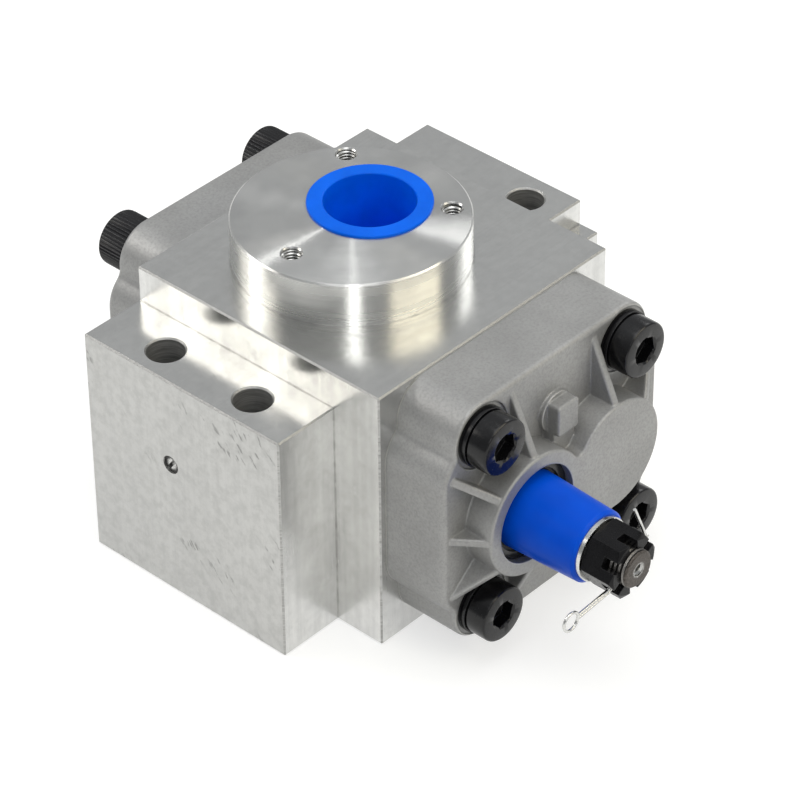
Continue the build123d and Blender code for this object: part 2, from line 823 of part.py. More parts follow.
# Split pin: two wires through the stud, an eye on one side and bent tails on the other
def make_split_pin():
    turn = math.radians(pin_turn)
    along = (math.cos(turn), math.sin(turn))
    across = (-math.sin(turn), math.cos(turn))

    def place(run, offset):
        x = along[0] * run + across[0] * offset
        z = along[1] * run + across[1] * offset
        return (x, z)

    half = pin_spread / 2
    outside = nut_flats / 2 + pin_overhang
    eye_x, eye_z = -outside - pin_reach, -outside * math.sin(turn) - pin_droop
    bend_x, bend_z = place(outside, half)
    wires = []
    upper_tail = (bend_x - pin_tail_run, bend_z + pin_tail_rise)
    upper = [upper_tail, (bend_x, bend_z), place(-outside, half), (eye_x + eye_d / 2, eye_z + half)]
    lower = [place(outside + pin_short_tail, -half), place(-outside, -half), (eye_x + eye_d / 2, eye_z - half)]
    plane = facing_front(pin_y, gear_axes[0], shaft_height)
    for route in (upper, lower):
        path = plane * FilletPolyline(*route, radius=pin_bend_r)
        section = Plane(origin=path @ 0, z_dir=path % 0) * Circle(pin_wire / 2)
        wires.append(sweep(section, path=path))
    eye = plane * Pos(eye_x, eye_z) * Torus(eye_d / 2, pin_wire / 2)
    return wires[0] + wires[1] + eye


# Inlet cap: a flanged cup that keeps dirt out of the inlet
def make_inlet_cap():
    outer = inlet_bore_d / 2 - cap_fit
    inner = outer - cap_wall
    top = boss_top + cap_flange_thick
    bottom = boss_top - cap_depth
    cap = rod_z(inlet_x, inlet_y, cap_flange_d / 2, boss_top, top)
    cap = fillet(cap.edges().sort_by(Axis.Z)[-1], cap_edge_r)
    cap += rod_z(inlet_x, inlet_y, outer, bottom, boss_top)
    cap -= rod_z(inlet_x, inlet_y, inner, bottom + cap_wall, top)
    mouth = [edge for edge in cap.faces().sort_by(Axis.Z)[-1].edges() if edge.radius < outer]
    return fillet(mouth, cap_mouth_r)


os.makedirs("parts", exist_ok=True)

save("pump_body", make_body())
save("front_cover", make_front_cover())
save("rear_cover", make_rear_cover())

front_seal_plane = facing_front(front_y, 0, shaft_height)
rear_seal_plane = facing_rear(rear_y, 0, shaft_height)
front_block_end = front_y + bearing_length
rear_block_end = rear_y - bearing_length
save("front_bearing_block", make_bearing_block(front_y, front_block_end, front_seal_plane, front_block_end, 1))
save("rear_bearing_block", make_bearing_block(rear_block_end, rear_y, rear_seal_plane, rear_block_end, -1))
save("front_pressure_seal", make_pressure_seal(front_seal_plane))
save("rear_pressure_seal", make_pressure_seal(rear_seal_plane))

front_bush_y = front_y + bearing_length / 2
rear_bush_y = rear_y - bearing_length / 2
save("bearing_bushes", *[make_bush(x, y) for x in gear_axes for y in (front_bush_y, rear_bush_y)])
save("drive_gear_shaft", make_drive_gear())
save("driven_gear_shaft", make_driven_gear())

save("front_body_seal", make_body_seal(front_y, -1))
save("rear_body_seal", make_body_seal(rear_y, 1))
save("outlet_seal_ring", make_outlet_ring())
save("shaft_seal", make_shaft_seal())
save("snap_ring", make_snap_ring())
save("dowel_pins", *make_dowels())
save("side_plug", make_side_plug())

front_screws = []
front_washers = []
rear_screws = []
for x, z in screw_spots:
    front_washers.append(lock_washer(facing_front(front_seat_y, x, z)))
    head_plane = facing_front(front_seat_y - washer_thick, x, z)
    front_sizes = (front_head_height, front_hex, front_hex_depth, front_screw_length)
    front_screws.append(cap_screw(head_plane, *front_sizes))
    rear_plane = facing_rear(rear_seat_y, x, z)
    rear_sizes = (rear_head_height, rear_hex, rear_hex_depth, rear_screw_length)
    rear_screws.append(cap_screw(rear_plane, *rear_sizes))
save("front_cap_screws", *front_screws)
save("front_lock_washers", *front_washers)
save("rear_cap_screws", *rear_screws)

save("shaft_key", make_key())
save("shaft_sleeve", make_sleeve())
save("shaft_washer", make_shaft_washer())
save("castle_nut", make_castle_nut())
save("split_pin", make_split_pin())
save("inlet_cap", make_inlet_cap())
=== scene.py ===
"""Looks for a hydraulic gear pump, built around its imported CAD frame."""

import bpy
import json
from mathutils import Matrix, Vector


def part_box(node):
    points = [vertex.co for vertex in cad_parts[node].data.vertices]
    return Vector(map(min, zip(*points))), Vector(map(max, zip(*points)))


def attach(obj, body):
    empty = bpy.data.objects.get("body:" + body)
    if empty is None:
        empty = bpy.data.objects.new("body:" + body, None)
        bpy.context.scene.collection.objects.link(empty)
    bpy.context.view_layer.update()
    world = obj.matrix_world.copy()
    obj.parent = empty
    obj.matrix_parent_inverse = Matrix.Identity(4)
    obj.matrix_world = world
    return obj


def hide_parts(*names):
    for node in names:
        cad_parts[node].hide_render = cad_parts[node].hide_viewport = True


bl_info = {
    "name": "Hydraulic gear pump looks",
    "version": (1, 1, 0),
    "blender": (4, 5, 0),
    "location": "3D View > Sidebar > Pump",
    "description": "Finishes the pump's metals, plastics and small hardware around its CAD parts",
    "category": "Object",
}

import json
import math

import bmesh
import bpy
from bpy.props import FloatProperty, FloatVectorProperty, IntProperty, PointerProperty
from mathutils import Matrix, Vector

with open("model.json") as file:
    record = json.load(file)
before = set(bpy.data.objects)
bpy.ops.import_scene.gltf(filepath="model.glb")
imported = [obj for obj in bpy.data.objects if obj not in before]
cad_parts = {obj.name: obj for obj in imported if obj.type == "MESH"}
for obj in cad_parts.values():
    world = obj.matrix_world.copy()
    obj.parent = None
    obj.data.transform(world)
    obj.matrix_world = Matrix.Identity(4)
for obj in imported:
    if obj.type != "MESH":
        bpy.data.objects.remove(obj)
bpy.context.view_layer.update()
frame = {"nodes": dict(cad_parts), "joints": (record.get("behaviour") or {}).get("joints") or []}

MM = 0.001
SHAFT = Vector(next(joint for joint in frame["joints"] if joint["name"] == "drive_shaft_spin")["pos_m"])

# Where the block's boss, bores and lugs, the corner screws and the stud are, as in the part's source.
# A bore's reach is how far from its axis the middles of its faces may be.
BOSS_CENTRE = Vector((-3.1, 1.7, 0)) * MM
BOSS_FOOT_Z = 91.8 * MM
BOSS_WALL_RADIUS = 35 * MM
INLET_CENTRE = Vector((5.1, 1.7, 0)) * MM
INLET_REACH = 17 * MM
BOLT_HOLES = [Vector((x, y, 0)) * MM for x, y in ((-62.5, -14.5), (-62.5, 21.0), (66.7, -6.1))]
BOLT_HOLE_REACH = 6.5 * MM
PORT_HOLES = [Vector((x, y, 106.2)) * MM for x, y in ((19.2, 24.6), (19.2, -18.4), (-29.3, 1.0))]
LUG_END_X = 60 * MM
LUG_STEP_Z = 60 * MM
SCREW_REACH = 31.0 * MM
FRONT_SEAT_Y = -76.6 * MM
REAR_SEAT_Y = 61.0 * MM
STUD_START = -106.5 * MM
STUD_END = -122.3 * MM

# The kinds of node that come up most.
MATH = "ShaderNodeMath"
VECTOR_MATH = "ShaderNodeVectorMath"
COMBINE = "ShaderNodeCombineXYZ"
MIX = "ShaderNodeMix"
NOISE = "ShaderNodeTexNoise"
RANGE = "ShaderNodeMapRange"
BUMP = "ShaderNodeBump"
BEVEL = "ShaderNodeBevel"

# Most of a noise's values lie between these.
LOW, HIGH = 0.3, 0.7

# Two faces that meet at more than this are shaded with a sharp edge.
SHARP = math.radians(28)


def srgb(text):
    """A hex colour such as "#a0a0a0", turned to linear red, green, blue and alpha."""
    channels = [int(text[i : i + 2], 16) / 255 for i in (1, 3, 5)]
    return [c / 12.92 if c <= 0.04045 else ((c + 0.055) / 1.055) ** 2.4 for c in channels] + [1.0]


# Nodes

def live(sockets, key):
    """One of the sockets in use, by its name or by its place among them."""
    used = [socket for socket in sockets if socket.enabled]
    return used[key] if isinstance(key, int) else next(socket for socket in used if socket.name == key)


def add(tree, kind, inputs=None, **settings):
    """Adds a node with its settings. Among its inputs, sockets and nodes are linked, other values are set."""
    node = tree.nodes.new(kind)
    for name, value in settings.items():
        setattr(node, name, value)
    for key, value in (inputs or {}).items():
        socket = live(node.inputs, key)
        if isinstance(value, bpy.types.Node):
            value = live(value.outputs, 0)
        if isinstance(value, bpy.types.NodeSocket):
            tree.links.new(value, socket)
        else:
            socket.default_value = value
    return node


def blank_material(name):
    """A node material with nothing in it yet, and its tree."""
    material = bpy.data.materials.new(name)
    material.use_nodes = True
    material.node_tree.nodes.clear()
    return material, material.node_tree


def new_material(name):
    """A blank material, its tree, and the Object coordinates that its patterns read."""
    material, tree = blank_material(name)
    return material, tree, live(add(tree, "ShaderNodeTexCoord").outputs, "Object")


def coated(material, inputs):
    """The material, ended in one Principled surface with these inputs."""
    tree = material.node_tree
    surface = add(tree, "ShaderNodeBsdfPrincipled", inputs)
    add(tree, "ShaderNodeOutputMaterial", {"Surface": surface})
    return material


def linked(name, data):
    """A new object with this data, in the scene."""
    made = bpy.data.objects.new(name, data)
    bpy.context.scene.collection.objects.link(made)
    return made


# Sizes and colours

def length_setting(label, what, millimetres, **limits):
    """A length that a user can change."""
    return FloatProperty(name=label, description=what, default=millimetres * MM, unit="LENGTH", **limits)


def colour_setting(label, what, default):
    """A colour that a user can change."""
    return FloatVectorProperty(
        name=label, description=what, subtype="COLOR", size=4, min=0.0, max=1.0, default=srgb(default)
    )


class BlockSettings(bpy.types.PropertyGroup):
    fresh: colour_setting("Fresh cut", "Colour of the aluminium where the cutter left it bright", "#d6d6d3")
    dull: colour_setting("Handled", "Colour of the aluminium where it has been handled", "#c6c6c4")
    tool_line: length_setting(
        "Tool line", "Distance between the lines that the cutter leaves", 0.5, min=0.05 * MM
    )
    thread_pitch: length_setting(
        "Thread pitch", "Rise of one turn of the port holes' thread", 1.0, min=0.2 * MM
    )
    thread_depth: length_setting(
        "Thread depth", "How far the thread stands out of the hole's wall", 0.5, min=0.0
    )
    thread_turns: IntProperty(
        name="Thread turns", description="Turns of thread in each port hole", default=12, min=1, max=40,
    )


class CastingSettings(bpy.types.PropertyGroup):
    skin: colour_setting("Cast skin", "Colour of the tumbled casting", "#a8a8a7")
    # The edge colour stands for the tumbled wear and also for a painted highlight on the standing edges.
    rubbed_edge_and_highlight: colour_setting("Worn edge", "Colour where tumbling has rubbed the edges bright", "#dededa")
    grit: length_setting("Grit", "Width of the pits in the cast skin", 0.8, min=0.1 * MM)


class HardwareSettings(bpy.types.PropertyGroup):
    head_diameter: length_setting("Head diameter", "Diameter of the corner screws' heads", 18.0)
    front_head_height: length_setting("Front head height", "Height of the low heads on the front cover", 7.2)
    rear_head_height: length_setting("Rear head height", "Height of the heads behind the rear cover", 12.0)
    front_socket: length_setting("Front socket", "Width across the flats of the front screws' sockets", 8.0)
    rear_socket: length_setting("Rear socket", "Width across the flats of the rear screws' sockets", 10.0)
    knurl_ridges: IntProperty(
        name="Knurl ridges", description="Ridges round the head of a rear screw", default=48, min=12, max=96,
    )
    knurl_depth: length_setting("Knurl depth", "How deep the knurl is cut", 0.35, min=0.0)
    blackened: colour_setting(
        "Blackened steel", "Colour of the black oxide on the screws and the nut", "#0c0c0e"
    )
    plated: colour_setting("Plated steel", "Colour of the zinc on the washer and the split pin", "#dcdcda")


class PlasticSettings(bpy.types.PropertyGroup):
    cap: colour_setting("Cap", "Colour of the cap in the inlet", "#0063e4")
    sleeve: colour_setting("Sleeve", "Colour of the sleeve over the shaft's taper", "#0053d8")
    rubber: colour_setting("Rubber", "Colour of the seals", "#141415")


class StageSettings(bpy.types.PropertyGroup):
    paper: colour_setting("Paper", "Colour of the paper that the pump stands on", "#bcbcba")
    lens: FloatProperty(
        name="Lens", description="Focal length that gives the photograph's perspective",
        default=176.25, min=20.0, subtype="DISTANCE_CAMERA",
    )
    azimuth: FloatProperty(
        name="Azimuth", description="Which side the camera looks from",
        default=math.radians(-47.16), subtype="ANGLE",
    )
    elevation: FloatProperty(
        name="Elevation", description="How far above the horizon the camera is",
        default=math.radians(37.41), subtype="ANGLE",
    )
    roll: FloatProperty(
        name="Roll", description="How far the camera leans",
        default=math.radians(-0.549), subtype="ANGLE",
    )
    place: FloatVectorProperty(
        name="Camera place", description="Where the camera stands", size=3,
        default=(-0.69068, -0.65486, 0.76405), subtype="TRANSLATION", unit="LENGTH",
    )


# Metals
# The grain of the steels, the plastic and the rubber is too fine to show, and is drawn 0.5 to 0.9 mm wide.

def milled_aluminium(name, fresh, lines_along, roughness, bands=0.06, marks=0.0, lean=12):
    """Wrought 6082 aluminium, face-milled or sawn and skimmed.

    The cutter leaves straight fine lines, so the face is bright, mirrors what stands near it and
    spreads each reflection across the lines. Handling leaves soft dull clouds and a few fine scratches.
    lines_along is the axis that the lines follow, bands says how far the cutter's passes differ in
    shade, marks how marked the face is, and lean how many degrees its scratches lean off the lines.
    """
    settings = bpy.context.scene.pump_block
    material, tree, coords = new_material(name)
    # The real lines are about 0.1 mm apart, too fine to show, so they are drawn as the setting says.
    run = [1.0, 1.0, 1.0]
    run[lines_along] = settings.tool_line / (90 * MM)
    drawn_out = add(tree, "ShaderNodeMapping", {"Vector": coords, "Scale": run})
    grain = {"Scale": 1 / settings.tool_line, "Detail": 3.0, "Roughness": 0.6}
    line = add(tree, NOISE, {"Vector": drawn_out, **grain})
    dark_line = add(tree, RANGE, {0: line, 1: 0.45, 2: 0.75, 4: 0.09})
    cloud = add(tree, NOISE, {"Vector": coords, "Scale": 1 / (16 * MM), "Detail": 3.0})
    handled = add(tree, RANGE, {0: cloud, 1: 0.35, 2: 0.68})
    cloudy = add(tree, MATH, {0: handled, 1: 0.5}, operation="MULTIPLY")
    # Each pass of the cutter leaves a band of its own shade.
    band = add(tree, NOISE, {"Vector": drawn_out, "Scale": 1 / (3 * MM), "Detail": 3.0})
    passed = add(tree, RANGE, {0: band, 1: 0.42, 2: 0.62, 4: bands})
    mottle = add(tree, NOISE, {"Vector": coords, "Scale": 1 / (3.5 * MM), "Detail": 6.0, "Roughness": 0.7})
    blotch = add(tree, RANGE, {0: mottle, 1: 0.42, 2: 0.62, 4: 0.12 + marks / 2})
    # Scratches from handling: long thin islands of noise that lean off the lines.
    slim = [1.0, 1.0, 1.0]
    slim[lines_along] = 0.05
    tilt = math.radians(lean)
    leaning = add(tree, "ShaderNodeMapping", {"Vector": coords, "Rotation": (tilt, tilt / 2, 0)})
    thinned = add(tree, "ShaderNodeMapping", {"Vector": leaning, "Scale": slim})
    islands = add(tree, NOISE, {"Vector": thinned, "Scale": 1 / (1.5 * MM), "Detail": 3.0})
    thin = add(tree, RANGE, {0: islands, 1: 0.59, 2: 0.66})
    patch = add(tree, NOISE, {"Vector": leaning, "Scale": 1 / (22 * MM), "Detail": 1.0})
    worked = add(tree, RANGE, {0: patch, 1: 0.53, 2: 0.6, 4: marks})
    scratch = add(tree, MATH, {0: thin, 1: worked}, operation="MULTIPLY")
    # Painted shade: darker and a little warm in the corners where two faces meet, darkest where the nearby
    # faces hide a point most, in patches.
    shade = add(tree, "ShaderNodeAmbientOcclusion", {"Distance": 1.0 * MM}, samples=6, only_local=True)
    shaded_corner = add(tree, RANGE, {0: shade.outputs["AO"], 1: 0.78, 2: 0.58, 4: 0.5})
    corner_patches = add(tree, RANGE, {0: mottle, 1: 0.4, 2: 0.62, 3: 0.4})
    corner_shade = add(tree, MATH, {0: shaded_corner, 1: corner_patches}, operation="MULTIPLY")
    colour = fresh
    # The last of these mixes is the painted shade in the corners.
    for share, over in (
        (cloudy, settings.dull), (blotch, srgb("#a4a4a2")), (dark_line, srgb("#9b9b9a")),
        (passed, srgb("#a8a8a8")), (scratch, srgb("#7c7c7a")), (corner_shade, srgb("#6e6c68")),
    ):
        colour = add(tree, MIX, {0: share, 1: colour, 2: over}, data_type="RGBA")
    dulled = add(tree, RANGE, {0: handled, 3: roughness, 4: roughness + 0.03})
    grained = add(tree, RANGE, {0: line, 1: LOW, 2: HIGH, 4: 0.03})
    rough = add(tree, MATH, {0: dulled, 1: grained}, operation="ADD")
    edge = add(tree, BEVEL, {"Radius": 0.1 * MM}, samples=4)
    relief = add(tree, BUMP, {"Height": line, "Distance": 0.0015 * MM, "Normal": edge})
    along = [0.0, 0.0, 0.0]
    along[lines_along] = 1.0
    facing = add(tree, "ShaderNodeNewGeometry").outputs["Normal"]
    across = add(tree, VECTOR_MATH, {0: facing, 1: along}, operation="CROSS_PRODUCT")
    return coated(material, {
        "Base Color": colour, "Metallic": 1.0, "Roughness": rough, "Anisotropic": 0.5,
        "Tangent": across, "Normal": relief,
    })


def turned_aluminium(name, roughness, anisotropic, lean=0.0):
    """Wrought 6082 aluminium, turned on a lathe round the boss's axis.

    The tool leaves fine rings round the boss, which draw every reflection on its top into a wedge that
    runs to the middle, and every reflection on its side into an upright band. A facing tool cuts rings
    whose wide flank leans outwards, so the wedges on the side of the light are the strong ones.
    """
    settings = bpy.context.scene.pump_block
    material, tree, coords = new_material(name)
    place = add(tree, VECTOR_MATH, {0: coords, 1: tuple(BOSS_CENTRE)}, operation="SUBTRACT")
    x, y, z = add(tree, "ShaderNodeSeparateXYZ", {0: place}).outputs
    flat = add(tree, COMBINE, {0: x, 1: y})
    radius = add(tree, VECTOR_MATH, {0: flat}, operation="LENGTH")
    section = add(tree, COMBINE, {0: radius, 1: z})
    # The real rings are 0.1 to 0.2 mm apart, too fine to show, so they are drawn twice as coarse.
    ring = add(tree, NOISE, {"Vector": section, "Scale": 1 / (0.45 * MM), "Detail": 3.0, "Roughness": 0.6})
    band = add(tree, NOISE, {"Vector": section, "Scale": 1 / (3 * MM), "Detail": 2.0})
    cloud = add(tree, NOISE, {"Vector": coords, "Scale": 1 / (14 * MM), "Detail": 2.0})
    handled = add(tree, RANGE, {0: cloud, 1: 0.35, 2: 0.7})
    colour = add(tree, MIX, {0: handled, 1: settings.fresh, 2: settings.dull}, data_type="RGBA")
    dark_ring = add(tree, RANGE, {0: ring, 1: 0.45, 2: 0.75, 4: 0.09})
    colour = add(tree, MIX, {0: dark_ring, 1: colour, 2: srgb("#9b9b9a")}, data_type="RGBA")
    rough = add(tree, RANGE, {0: band, 1: LOW, 2: HIGH, 3: roughness - 0.02, 4: roughness + 0.05})
    edge = add(tree, BEVEL, {"Radius": 0.2 * MM}, samples=4)
    relief = add(tree, BUMP, {"Height": ring, "Distance": 0.0012 * MM, "Normal": edge})
    # Round the axis, then across that in the surface: radial on the top, upright on the side.
    back = add(tree, MATH, {0: y, 1: -1.0}, operation="MULTIPLY")
    around = add(tree, COMBINE, {0: back, 1: x})
    facing = add(tree, "ShaderNodeNewGeometry").outputs["Normal"]
    across = add(tree, VECTOR_MATH, {0: facing, 1: around}, operation="CROSS_PRODUCT")
    unit = add(tree, VECTOR_MATH, {0: across}, operation="NORMALIZE")
    outwards = add(tree, VECTOR_MATH, {0: flat}, operation="NORMALIZE")
    tilt = {0: outwards, 1: (lean, lean, lean), 2: relief}
    leaned = add(tree, VECTOR_MATH, tilt, operation="MULTIPLY_ADD")
    flank = add(tree, VECTOR_MATH, {0: leaned}, operation="NORMALIZE")
    return coated(material, {
        "Base Color": colour, "Metallic": 1.0, "Roughness": rough, "Anisotropic": anisotropic,
        "Tangent": unit, "Normal": flank,
    })


def drilled_aluminium(name):
    """Wrought 6082 aluminium, drilled or bored from above.

    The tool leaves fine rings down the wall, which stretch each reflection into an upright band. The
    wall is partly oxidised and dirty, so it isn't a full mirror.
    """
    material, tree, coords = new_material(name)
    # The real rings are 0.2 mm apart, too fine to show, so they are drawn twice as coarse.
    level = add(tree, "ShaderNodeMapping", {"Vector": coords, "Scale": (0.05, 0.05, 1.0)})
    ring = add(tree, NOISE, {"Vector": level, "Scale": 1 / (0.45 * MM), "Detail": 3.0})
    share = add(tree, RANGE, {0: ring, 1: 0.35, 2: 0.7})
    colour = add(tree, MIX, {0: share, 1: srgb("#cacac8"), 2: srgb("#9c9c9a")}, data_type="RGBA")
    relief = add(tree, BUMP, {"Height": ring, "Distance": 0.0006 * MM})
    return coated(material, {
        "Base Color": colour, "Metallic": 0.75, "Roughness": 0.42, "Anisotropic": 1.0,
        "Tangent": (0.0, 0.0, 1.0), "Normal": relief,
    })


def fine_metal(name, light, dark, roughness):
    """A metal with an even fine grain, such as a deburred edge, a ground journal or zinc plating.

    It gives a soft, slightly broken highlight. The real grain is under 0.1 mm, too fine to show, so it
    is drawn at 0.5 mm.
    """
    material, tree, coords = new_material(name)
    speck = add(tree, NOISE, {"Vector": coords, "Scale": 1 / (0.5 * MM), "Detail": 3.0, "Roughness": 0.6})
    share = add(tree, RANGE, {0: speck, 1: LOW, 2: HIGH})
    colour = add(tree, MIX, {0: share, 1: light, 2: dark}, data_type="RGBA")
    rough = add(tree, RANGE, {0: speck, 1: LOW, 2: HIGH, 3: roughness - 0.04, 4: roughness + 0.06})
    edge = add(tree, BEVEL, {"Radius": 0.2 * MM}, samples=4)
    relief = add(tree, BUMP, {"Height": speck, "Distance": 0.006 * MM, "Normal": edge})
    return coated(material, {"Base Color": colour, "Metallic": 1.0, "Roughness": rough, "Normal": relief})


def cast_aluminium(name):
    """Silicon aluminium, pressure die-cast and tumbled.

    It is matt and even from a distance, with fine pits, faint grey clouds, and edges and rib crests
    that tumbling has rubbed round and bright, drawn lighter still as a painted highlight. The rough grey
    skin scatters light like paint as much as it mirrors, so it is only partly metallic.
    """
    settings = bpy.context.scene.pump_casting
    material, tree, coords = new_material(name)
    # The real pits are about 0.3 mm wide, too fine to show, so they are drawn as wide as the setting says.
    grit = add(tree, NOISE, {"Vector": coords, "Scale": 1 / settings.grit, "Detail": 4.0, "Roughness": 0.65})
    pits = add(tree, NOISE, {"Vector": coords, "Scale": 1 / (2.6 * MM), "Detail": 3.0, "Roughness": 0.6})
    cloud = add(tree, NOISE, {"Vector": coords, "Scale": 1 / (20 * MM), "Detail": 3.0})
    edge = add(tree, BEVEL, {"Radius": 1.0 * MM}, samples=8)
    facing = add(tree, "ShaderNodeNewGeometry").outputs["Normal"]
    turn = add(tree, VECTOR_MATH, {0: edge, 1: facing}, operation="DOT_PRODUCT")
    bent = add(tree, RANGE, {0: turn, 1: 0.99, 2: 0.8, 4: 0.75})
    # Only edges that stand out are rubbed: in a hollow the nearby wall shades the point.
    shade = add(tree, "ShaderNodeAmbientOcclusion", {"Distance": 2.0 * MM}, samples=6, only_local=True)
    standing = add(tree, RANGE, {0: shade.outputs["AO"], 1: 0.8, 2: 0.97})
    rubbed_and_highlit = add(tree, MATH, {0: bent, 1: standing}, operation="MULTIPLY")
    clouded = add(tree, RANGE, {0: cloud, 1: LOW, 2: HIGH})
    pitted = add(tree, RANGE, {0: grit, 1: 0.42, 2: 0.7, 4: 0.5})
    colour = settings.skin
    # The standing edges are lightened both as rubbed wear and as a painted highlight.
    for share, over in ((clouded, srgb("#999998")), (pitted, srgb("#868685")), (rubbed_and_highlit, settings.rubbed_edge_and_highlight)):
        colour = add(tree, MIX, {0: share, 1: colour, 2: over}, data_type="RGBA")
    rough = add(tree, RANGE, {0: grit, 1: LOW, 2: HIGH, 3: 0.43, 4: 0.56})
    fine = add(tree, BUMP, {"Height": grit, "Distance": 0.04 * MM, "Normal": edge})
    relief = add(tree, BUMP, {"Height": pits, "Distance": 0.06 * MM, "Normal": fine})
    return coated(material, {"Base Color": colour, "Metallic": 0.6, "Roughness": rough, "Normal": relief})


def blackened_steel(name, roughness=0.2, shine=0.4):
    """Alloy steel, hardened, blackened in hot salts and oiled.

    It is nearly black, with the oil's soft sheen and a little grey where edges have been knocked. The
    oxide isn't a metal to the eye, so only a trace of the steel shines through.
    """
    settings = bpy.context.scene.pump_hardware
    material, tree, coords = new_material(name)
    grain = add(tree, NOISE, {"Vector": coords, "Scale": 1 / (0.7 * MM), "Detail": 3.0})
    cloud = add(tree, NOISE, {"Vector": coords, "Scale": 1 / (5 * MM), "Detail": 2.0})
    edge = add(tree, BEVEL, {"Radius": 0.3 * MM}, samples=6)
    facing = add(tree, "ShaderNodeNewGeometry").outputs["Normal"]
    turn = add(tree, VECTOR_MATH, {0: edge, 1: facing}, operation="DOT_PRODUCT")
    knocked = add(tree, RANGE, {0: turn, 1: 0.985, 2: 0.8, 4: 0.35})
    clouded = add(tree, RANGE, {0: cloud, 1: 0.35, 2: 0.7})
    colour = add(tree, MIX, {0: clouded, 1: settings.blackened, 2: srgb("#121214")}, data_type="RGBA")
    colour = add(tree, MIX, {0: knocked, 1: colour, 2: srgb("#48484c")}, data_type="RGBA")
    rough = add(tree, RANGE, {0: grain, 1: LOW, 2: HIGH, 3: roughness - 0.05, 4: roughness + 0.08})
    relief = add(tree, BUMP, {"Height": grain, "Distance": 0.004 * MM, "Normal": edge})
    return coated(material, {
        "Base Color": colour, "Metallic": 0.1, "Roughness": rough, "Specular IOR Level": shine,
        "Normal": relief,
    })


def shaft_steel(name):
    """Case-hardened steel: ground bright on the journals, turned darker with a thread on the stud.

    The end of the stud is as the parting tool left it, dark and rough, with a bright centre hole.
    """
    material, tree, coords = new_material(name)
    place = add(tree, VECTOR_MATH, {0: coords, 1: tuple(SHAFT)}, operation="SUBTRACT")
    x, y, z = add(tree, "ShaderNodeSeparateXYZ", {0: place}).outputs
    flat = add(tree, COMBINE, {0: x, 1: z})
    radius = add(tree, VECTOR_MATH, {0: flat}, operation="LENGTH")
    angle = add(tree, MATH, {0: z, 1: x}, operation="ARCTAN2")
    part_turn = add(tree, MATH, {0: angle, 1: 2 * math.pi}, operation="DIVIDE")
    pitch = 1.5 * MM
    turns = add(tree, MATH, {0: y, 1: 1 / pitch, 2: part_turn}, operation="MULTIPLY_ADD")
    ridge = add(tree, MATH, {0: turns, 1: 0.5}, operation="PINGPONG")
    on_stud = add(tree, MATH, {0: y, 1: STUD_START}, operation="LESS_THAN")
    thread = add(tree, MATH, {0: ridge, 1: on_stud}, operation="MULTIPLY")
    speck = add(tree, NOISE, {"Vector": coords, "Scale": 1 / (0.6 * MM), "Detail": 4.0, "Roughness": 0.7})
    share = add(tree, RANGE, {0: speck, 1: LOW, 2: HIGH})
    ground = add(tree, MIX, {0: share, 1: srgb("#b8b8b6"), 2: srgb("#9f9f9d")}, data_type="RGBA")
    parted = add(tree, MIX, {0: share, 1: srgb("#3c3835"), 2: srgb("#6b6661")}, data_type="RGBA")
    end = add(tree, MATH, {0: y, 1: STUD_END}, operation="LESS_THAN")
    dark = add(tree, MATH, {0: on_stud, 1: 0.7}, operation="MULTIPLY")
    darkest = add(tree, MATH, {0: dark, 1: end}, operation="MAXIMUM")
    # The centre hole's bright wall, with a ragged edge.
    ragged = add(tree, MATH, {0: speck, 1: 2.6 * MM, 2: radius}, operation="MULTIPLY_ADD")
    in_centre = add(tree, RANGE, {0: ragged, 1: 3.9 * MM, 2: 3.2 * MM})
    kept_dark = add(tree, MATH, {0: darkest, 1: in_centre}, operation="SUBTRACT", use_clamp=True)
    colour = add(tree, MIX, {0: kept_dark, 1: ground, 2: parted}, data_type="RGBA")
    rough = add(tree, RANGE, {0: kept_dark, 3: 0.22, 4: 0.45})
    grain = add(tree, BUMP, {"Height": speck, "Distance": 0.15 * MM, "Strength": kept_dark})
    relief = add(tree, BUMP, {"Height": thread, "Distance": 0.9 * MM, "Normal": grain})
    return coated(material, {"Base Color": colour, "Metallic": 1.0, "Roughness": rough, "Normal": relief})


def plug_steel(name):
    """Zinc plated steel plug, with a painted shadow of the gap round it as a dark ring round its bright end.
    """
    material, tree, coords = new_material(name)
    low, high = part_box("side_plug")
    place = add(tree, VECTOR_MATH, {0: coords, 1: tuple((low + high) / 2)}, operation="SUBTRACT")
    flat = add(tree, VECTOR_MATH, {0: place, 1: (0, 1, 1)}, operation="MULTIPLY")
    radius = add(tree, VECTOR_MATH, {0: flat}, operation="LENGTH")
    speck = add(tree, NOISE, {"Vector": coords, "Scale": 1 / (0.7 * MM), "Detail": 3.0})
    ragged = add(tree, MATH, {0: speck, 1: 0.8 * MM, 2: radius}, operation="MULTIPLY_ADD")
    outer = (high.z - low.z) / 2
    # Painted shadow: where the plug meets its hole, a ring is drawn dark, dull and not metallic.
    gap_shade = add(tree, RANGE, {0: ragged, 1: outer * 0.6, 2: outer * 0.85})
    zinc = add(tree, MIX, {0: speck, 1: srgb("#f0f0ee"), 2: srgb("#70706e")}, data_type="RGBA")
    colour = add(tree, MIX, {0: gap_shade, 1: zinc, 2: srgb("#262524")}, data_type="RGBA")
    rough = add(tree, RANGE, {0: gap_shade, 3: 0.22, 4: 0.5})
    bright = add(tree, RANGE, {0: gap_shade, 3: 1.0, 4: 0.0})
    relief = add(tree, BUMP, {"Height": speck, "Distance": 0.08 * MM})
    return coated(material, {"Base Color": colour, "Metallic": bright, "Roughness": rough, "Normal": relief})


# Plastic and rubber

